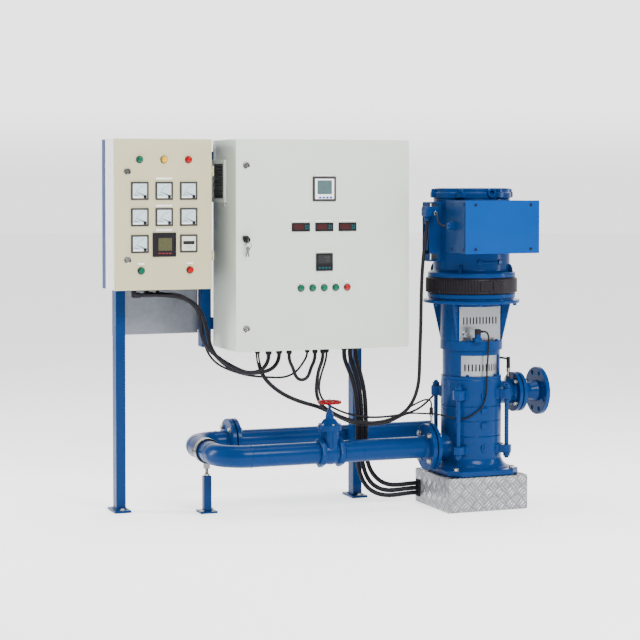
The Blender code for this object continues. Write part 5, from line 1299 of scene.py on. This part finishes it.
def make_motor():
    """The ribbed cooling ring, the motor's shell with gussets and a handle, and its end cap."""
    low, high = 0.8848, 0.9525
    hub = turned([(0, low), (0.1815, low), (0.1868, low + 0.008), (0.1868, high - 0.008), (0.1815, high), (0, high)],
                 160, soft=0.004)
    smooth = sector(0.180, 0.1895, low + 0.005, high - 0.005, 20.0, 112.0, 2.0, 0.0030)
    ribs = spread(np.arange(134, 253, 3.6), block,
                  (0.183, -0.0028, low + 0.005), (0.1895, 0.0028, high - 0.005), 0.0014)
    pads = spread((263, 280), block, (0.186, -0.024, low + 0.016), (0.1912, 0.024, high - 0.014), 0.002)
    studs = spread((258, 264, 270, 284), rod, (0.186, 0, low + 0.034), (0.1925, 0, low + 0.034), 0.0055, 20, 0.001)
    show("cooling_ring_ribbed", on_pump(hub, smooth, *ribs, *pads, *studs), RING_BLACK, "motor_cooling_ring")

    body = turned(mm("0,952.8 180.5,952.8 181.5,954.8 181.5,970 172,976 160.5,978 158,984 158,1274.5 156.5,1277 "
                     "0,1277"), 128, soft=0.0025)
    gussets = [moved(prism(mm("150,972 176.5,972 174,992 166,1006 150,1006"), -0.0055, 0.0055, 0.0018),
                     spin(deg) @ spin(90, "X")) for deg in (49, 139, 229, 319)]
    ends = spread((-17, 17), rod, (0.152, 0, 1.016), (0.1640, 0, 1.016), 0.0105, 28, 0.0020)
    handle = together(sector(0.155, 0.1612, 1.0115, 1.0205, 0.0, 17.0, 2.0, 0.0020), *ends)
    show("motor_shell_cast", on_pump(body, *gussets, moved(handle, spin(-86))), CAST_BLUE, "motor_body")

    low = 1.2773
    cap = turned(mm("0,1277.3 162.5,1277.3 162.5,1298.5 156,1303 156,1315 153,1318 145,1319 60,1319 58,1316.5 "
                    "45,1316.5 0,1316.5"), 128, soft=0.0015)
    ears = around(6, 49.0, prism, mm("148,-22 162,-22 173.5,-13 173.5,13 162,22 148,22"),
                  low + 0.002, low + 0.025, 0.003)
    bolts = around(6, 49.0, hexagon, (0.1620, 0, low + 0.0245), UP, 0.0190, 0.0115)
    hoods = spread((274, 94), turned, mm("9.5,-8 19.8,-8 19.8,8 9.5,8 9.5,-8"),
                   40, (0.1620, 0, 1.2990), RIGHT, 0.0030)
    show("motor_end_cast", on_pump(cap, ears, bolts, *hoods), CAST_BLUE, "motor_end_cap")


def entry(place, along, nut, dome, nut_soft=0.0006, dome_soft=0.001):
    """A cable entry: a hexagon, then a round dome nut."""
    return [turned(mm(nut), 6, place, along, nut_soft), turned(mm(dome), 40, place, along, dome_soft)]


def make_motor_fittings():
    """The side bracket with its junction box, the jumper's ring, and the terminal box."""
    web = cut(block((-0.208, -0.035, 1.018), (-0.150, 0.035, 1.262), 0.0030),
              block((-0.203, -0.05, 1.024), (-0.168, 0.05, 1.050)),
              block((-0.203, -0.05, 1.232), (-0.168, 0.05, 1.256)),
              block((-0.230, -0.0240, 1.062), (-0.176, 0.0240, 1.222), 0.003))
    feet = [block((-0.208, -0.0345, z - 0.030), (-0.2045, 0.0345, z + 0.030), 0.001) for z in (1.080, 1.200)]
    junction = block((-0.242, -0.087, 1.204), (-0.190, -0.030, 1.240), 0.004, 3)
    lid = block((-0.240, -0.085, 1.2385), (-0.192, -0.032, 1.2435), 0.0015)
    entries = [*entry((-0.229, -0.0605, 1.206), DOWN, "0,0 11,0 11,7 0,7", "0,6 10,6 10,14 8,19 0,19"),
               *entry((-0.212, -0.0845, 1.217), FRONT, "0,0 9,0 9,10 0,10", "0,9 8.2,9 8.2,16 6.5,20.5 0,20.5")]
    jumper_ring = turned(mm("4.6,0 7.8,0 7.8,6.5 4.6,6.5 4.6,0"), 32, (-0.212, -0.1053, 1.217), FRONT, 0.0008)
    show("jumper_gland_ring", on_pump(jumper_ring), ZINC)
    show("motor_side_bracket", on_pump(web, *feet, junction, lid, *entries), CAST_BLUE, "motor_foot_bracket",
         sharp=30)

    barrel = rod((0, 0, 1.0), (0, 0, 1.3), 0.1585, 96)
    box = cut(block((-0.1625, -0.2882, 1.0585), (0.1625, -0.100, 1.2685), 0.0022, 3), barrel)
    side = block((-0.164, -0.2790, 1.0640), (-0.1615, -0.1500, 1.2630), 0.0008)
    # The box's sheet and side plate take the darker enamel, painted shade on the sides that face away from the light
    show("terminal_box_sheet", on_pump(box, side), SHADED_BOX_BLUE, "terminal_box", sharp=30)
    show("terminal_box_cover", on_pump(block((-0.164, -0.2905, 1.057), (0.164, -0.2880, 1.270), 0.0010)), BOX_BLUE,
         sharp=30)
    show("terminal_box_entry", on_pump(*entry((-0.1635, -0.184, 1.167), LEFT, "0,0 18.5,0 18.5,12 0,12",
                                              "0,8 15,8 15,26 12,31.5 0,31.5", 0.0008, 0.0012)), TUBE_BLUE, sharp=30)
    screws = [rod((x, -0.2898, z), (x, -0.2920, z), 0.0062, 20, 0.0008) for x in (-0.120, 0.125)
              for z in (1.075, 1.252)]
    screws += [rod((-0.1638, y, z), (-0.1658, y, z), 0.0056, 20, 0.0008) for y in (-0.270, -0.160)
               for z in (1.074, 1.254)]
    show("terminal_box_screws", on_pump(*screws), BLACK)


def make_sensors():
    """Two sensors on the flanges and one on the lantern, with their plugs."""
    for name, x, foot, top in (("suction_sensor", -0.181, 0.3498, 0.414), ("discharge_sensor", 0.172, 0.5198, 0.612)):
        here, middle = (x, 0, 0), foot + 0.030 + (top - foot) * 0.18
        base = turned([(0, foot), (0.0074, foot), (0.0074, foot + 0.010), (0, foot + 0.010)], 6, here, soft=0.0005)
        stem = turned([(0, foot + 0.009), (0.0050, foot + 0.010), (0.0050, foot + 0.026), (0.0078, foot + 0.028),
                       (0.0078, middle), (0, middle)], 40, here, soft=0.0006)
        show(f"{name}_body", on_pump(base, stem), CHROME)
        low = middle - 0.001
        shapes = [turned([(0, low), (0.0085, low), (0.0085, low + 0.006), (0.0078, low + 0.008),
                          (0.0078, top - 0.002), (0.0068, top), (0, top)], 40, here, soft=0.0008)]
        if name == "discharge_sensor":
            plug = mm("0,0 5.2,0 5.2,10 4.2,15.5 0,15.5")
            shapes.append(turned(plug, 32, (x, 0.0025, top - 0.0095), (0, 1, 0), 0.0006))
        show(f"{name}_plug", on_pump(*shapes), BLACK, name)
    foot = cut(block((-0.052, -0.150, 0.6905), (-0.022, -0.1190, 0.708), 0.0020),
               rod((0, 0, 0.6), (0, 0, 0.8), 0.1212, 96))
    neck = block((-0.0455, -0.1485, 0.700), (-0.0265, -0.1275, 0.722), 0.0015)
    show("lantern_sensor_mount", on_pump(foot, neck), CAST_BLUE, sharp=30)
    head = block((-0.046, -0.149, 0.7205), (-0.026, -0.127, 0.744), 0.0025)
    outlet = turned(mm("0,0 5.2,0 5.2,12 4.2,17.2 0,17.2"), 32, (-0.0292, -0.138, 0.733), RIGHT, 0.0006)
    show("lantern_sensor_head", on_pump(head, outlet), BLACK, "lantern_sensor")


# Pipework

def weld_bead(place, along, radius, size=0.0022):
    """A rounded bead where two pipe lengths are welded."""
    inner, outer = radius - 0.001, radius + size * 0.55
    return turned([(inner, -size * 1.5), (outer, -size * 0.7), (outer, size * 0.7), (inner, size * 1.5),
                   (inner, -size * 1.5)], 96, place, along, 0.0006)


def pipe_run(stations, tube):
    """A closed tube through stations of a place and an outward direction."""
    return skinned([ring(place, tube, Vector((math.cos(math.radians(angle)), math.sin(math.radians(angle)), 0.0)),
                         Vector(UP), 72) for place, angle in stations])


def bend_stations(start, centre, first_deg, end):
    """Stations along a straight, a quarter bend about a centre, and a straight."""
    line, steps = [(start, first_deg)], 28
    for step, (x, y) in enumerate(arc(BEND, first_deg, first_deg - 90, steps)):
        line.append(((centre[0] + x, centre[1] + y, centre[2]), first_deg - 90 * step / steps))
    return line + [(end, first_deg - 90)]


def make_pipes():
    """The four lengths of pipe with their flanges, welds, bolts and gaskets, and the discharge adapter."""
    tube, z = 0.04445, PIPE_Z
    zinc = Kit("pipes")
    front, back = slide((0, FRONT_PIPE_Y, 0)), slide((0, BACK_PIPE_Y, 0))

    def bead(x, y, along=RIGHT):
        return weld_bead((x, y, z), along, tube)

    def flange(face, away):
        return pipe_flange(face, away, z, 0.095, 0.020, 0.066, tube + 0.001)

    face = PUMP.x - 0.190 - 0.0003
    run = rod((VALVE_X + 0.0523, 0, z), (face - 0.010, 0, z), tube, 72)
    beads = [bead(face - 0.030, 0), bead(VALVE_X + 0.058, 0)]
    show("pump_end_pipe_run", moved(together(run, flange(face, -1), *beads), front),
         TUBE_BLUE, "pump_end_pipe")
    zinc.put(ZINC, moved(flange_bolts(face, -1, z, 0.073, 0.020, 0.019), front))

    elbow_x, elbow_y, left = CROSS_PIPE_X + BEND, FRONT_PIPE_Y + BEND, VALVE_X - 0.052
    run = pipe_run(bend_stations((left - 0.0003, FRONT_PIPE_Y, z), (elbow_x, elbow_y, z), 270.0,
                                 (CROSS_PIPE_X, elbow_y + 0.0200, z)), tube)
    beads = [bead(elbow_x, FRONT_PIPE_Y), bead(left - 0.006, FRONT_PIPE_Y),
             bead(CROSS_PIPE_X, elbow_y + 0.0160, (0, 1, 0))]
    show("front_pipe_run", together(run, *beads), TUBE_BLUE, "front_pipe")

    back_y, flange_x = BACK_PIPE_Y - BEND, -0.318
    run = pipe_run(bend_stations((CROSS_PIPE_X, elbow_y + 0.0203, z), (elbow_x, back_y, z), 180.0,
                                 (flange_x - 0.010, BACK_PIPE_Y, z)), tube)
    beads = [bead(CROSS_PIPE_X, back_y, (0, 1, 0)), bead(elbow_x, BACK_PIPE_Y), bead(flange_x - 0.030, BACK_PIPE_Y)]
    show("cross_pipe_run", together(run, moved(flange(flange_x, -1), back), *beads), TUBE_BLUE, "cross_pipe")
    zinc.put(ZINC, moved(flange_bolts(flange_x, -1, z, 0.073, 0.020, 0.019), back))
    zinc.put(SEAL, moved(joint_gasket(flange_x + 0.00015, z, 0.0665), back))

    face = flange_x + 0.0003
    run = turned([(0, 0.010), (tube, 0.010), (tube, 0.600 - face), (0.040, 0.600 - face), (0.040, 0.520 - face),
                  (0, 0.520 - face)], 72, (face, 0, z), RIGHT, 0.0006)
    show("back_pipe_run", moved(together(run, flange(face, 1), bead(face + 0.030, 0)), back), TUBE_BLUE, "back_pipe")
    zinc.put(ZINC, moved(flange_bolts(face, 1, z, 0.073, 0.020, 0.019, True), back))

    face, z = PUMP.x + 0.205 + 0.0003, OUTLET_Z
    disc = turned(mm("0,0 58,0 58,2.2 82.5,2.6 82.5,19 44,19 34.5,42 34,60 40,78 44.5,92 0,92"),
                  96, (face, 0, z), RIGHT, 0.0030)
    outlet = turned(mm("33,0 100,0 100,18 69,18 69,20 33,20 33,0"), 128, (0.882, 0, z), RIGHT, 0.0010)
    holes = [rod((0.860, y, z + lift), (0.920, y, z + lift), 0.0105) for y, lift in arc(0.080, 22.5, 337.5, 7)]
    bored = cut(disc, rod((0.842, 0, z), (0.912, 0, z), 0.033, 64))
    show("discharge_adapter_cast", moved(together(bored, cut(outlet, *holes)), front), CAST_BLUE, "discharge_adapter",
         sharp=30)
    zinc.put(ZINC, moved(flange_bolts(face, 1, z, 0.063, 0.019, 0.017), front))
    zinc.show()


def hand_spoke():
    """A dished spoke that widens into the rim."""
    return prism(mm("6,-4.2 30,-3 45,-6.2 45,6.2 30,3 6,4.2"), 0.0015, 0.0080, 0.0018)


def make_valve():
    """The gate valve's body, bonnet, spindle and bolts, and its red handwheel."""
    z, x = PIPE_Z, VALVE_X
    front = slide((0, FRONT_PIPE_Y, 0))
    collars = [turned(mm("0,0 56,0 60,4 60,20 56,24 0,24"), 8, (x + side * 0.052, 0, z), (-side, 0, 0), 0.0025)
               for side in (-1, 1)]
    run = turned(mm("0,2 47,2 47,30 50,52 47,74 47,102 0,102"), 72, (x - 0.052, 0, z), RIGHT, 0.006)
    trunk = prism(mm("-26,-34 -14,-46 14,-46 26,-34 26,34 14,46 -14,46 -26,34"), z, 0.3430, 0.004, 3)
    bonnet = turned(mm("0,340.5 48,340.5 48,352.5 47,353.5 48,354.5 48,364 36,370 26,384 17,390 17,402 0,402"), 72,
                    (x, 0, 0), soft=0.0022)
    packing = turned(mm("0,400 16.5,400 16.5,411 0,411"), 6, (x, 0, 0), soft=0.0010)
    nut = turned(mm("0,410 11,410 11,423.5 8.5,425 0,425"), 40, (x, 0, 0), soft=0.0008)
    ribs = [block((x - 0.004, y - 0.003, z + 0.02), (x + 0.004, y + 0.003, 0.342), 0.0015) for y in (-0.046, 0.046)]
    trunk = moved(trunk, slide((x, 0, 0)))
    show("gate_valve_cast", moved(together(*collars, run, trunk, bonnet, packing, nut, *ribs), front),
         CAST_BLUE, "gate_valve", sharp=30)
    kit = Kit("valve")
    kit.put(CAST_BLUE, moved(rod((x, 0, 0.423), (x, 0, 0.4436), 0.0058, 32, 0.0006), front))
    kit.put(ZINC, *(moved(hexagon((x + across, y, 0.3640), UP, 0.0095, 0.005), front)
                    for across, y in arc(0.0405, 30, 330, 5)))
    kit.show()

    wheel = slide((VALVE_X, FRONT_PIPE_Y, 0.449))
    tube, waves, wave = 0.0055, 8, 0.0011
    rim = turned([(0.0390 + tube + across, tube + height) for across, height in arc(tube, 0, 360, 20)], 96, soft=0)
    for vert in rim.verts:
        turn = math.atan2(vert.co.y, vert.co.x)
        far = math.hypot(vert.co.x, vert.co.y)
        grown = (far + wave * (math.cos(waves * turn) - 1.0)) / far
        vert.co.x, vert.co.y = vert.co.x * grown, vert.co.y * grown
    hub = turned(mm("0,-4.8 9.8,-4.8 10.8,9.5 7,13.2 0,13.2"), 48, soft=0.0012)
    show("handwheel_rim_and_spokes", moved(together(hub, rim, around(4, 20.0, hand_spoke)), wheel), RED,
         "valve_handwheel", "handwheel")
    show("handwheel_nut", moved(hexagon((0, 0, 0.0125), UP, 0.0095, 0.0040, washer=False), wheel), ZINC,
         body="handwheel")


def make_supports():
    """The clamp round the cross pipe on its threaded rod, and the floor column."""
    here = slide((CROSS_PIPE_X, SUPPORT_Y, PIPE_Z))
    band = turned(mm("50,-15.5 52,-15.5 52,15.5 50,15.5 50,-15.5"), 96, axis=(0, 1, 0), soft=0.0007)
    lining = turned(mm("45.05,-16 50.4,-16 50.4,16 45.05,16 45.05,-16"), 96, axis=(0, 1, 0), soft=0.0010)
    ears = []
    for near, far, bolt_x in ((-0.0720, -0.0500, -0.062), (0.0500, 0.0720, 0.062)):
        ears += [block((near, -0.012, low), (far, 0.012, low + 0.0018), 0.0006) for low in (-0.0022, 0.0006)]
        ears += [hexagon((bolt_x, 0, z), way, 0.010, 0.005) for z, way in ((0.0024, UP), (-0.0022, DOWN))]
    nut = turned(mm("0,-72 14.5,-72 14.5,-51.5 0,-51.5"), 6, soft=0.0008)
    show("pipe_clamp_band", moved(together(band, *ears, nut), here), CLAMP, "pipe_clamp")
    show("pipe_clamp_lining", moved(lining, here), GASKET)
    here = slide((CROSS_PIPE_X, SUPPORT_Y, 0.0))
    stem = turned(thread_profile(0.0069, 0.148, PIPE_Z - 0.0723, 0.0014), 32, soft=0)
    lock = hexagon((0, 0, 0.1488), UP, 0.0208, 0.0085, washer=False)
    show("pipe_support_rod", moved(together(stem, lock), here), ZINC)
    column = block((-0.016, -0.016, 0.006), (0.016, 0.016, 0.150), 0.0025, 3)
    foot = block((-0.036, -0.036, 0.0), (0.036, 0.036, 0.008), 0.0015)
    show("pipe_support_column", moved(together(column, foot), here), TUBE_BLUE, "pipe_support")
    bolts = [hexagon((side * 0.026, side * 0.022, 0.008), UP, 0.012, 0.0052) for side in (-1, 1)]
    show("pipe_support_bolts", moved(together(*bolts), here), ZINC)


def thread_profile(radius, low, high, pitch):
    """A profile with the ridges of a screw thread."""
    root = radius * 0.86
    points = [(0, low)]
    for index in range(int((high - low) / pitch)):
        start = low + index * pitch
        points += [(root, start), (radius, start + pitch * 0.5)]
    return points + [(root, high), (0, high)]


make_studio()
make_cables()
make_lead_sleeve()
make_stand()
make_small_cabinet()
make_main_cabinet()
make_plinth()
make_pump_casings()
make_coupling_housings()
make_motor()
make_motor_fittings()
make_sensors()
make_pipes()
make_valve()
make_supports()
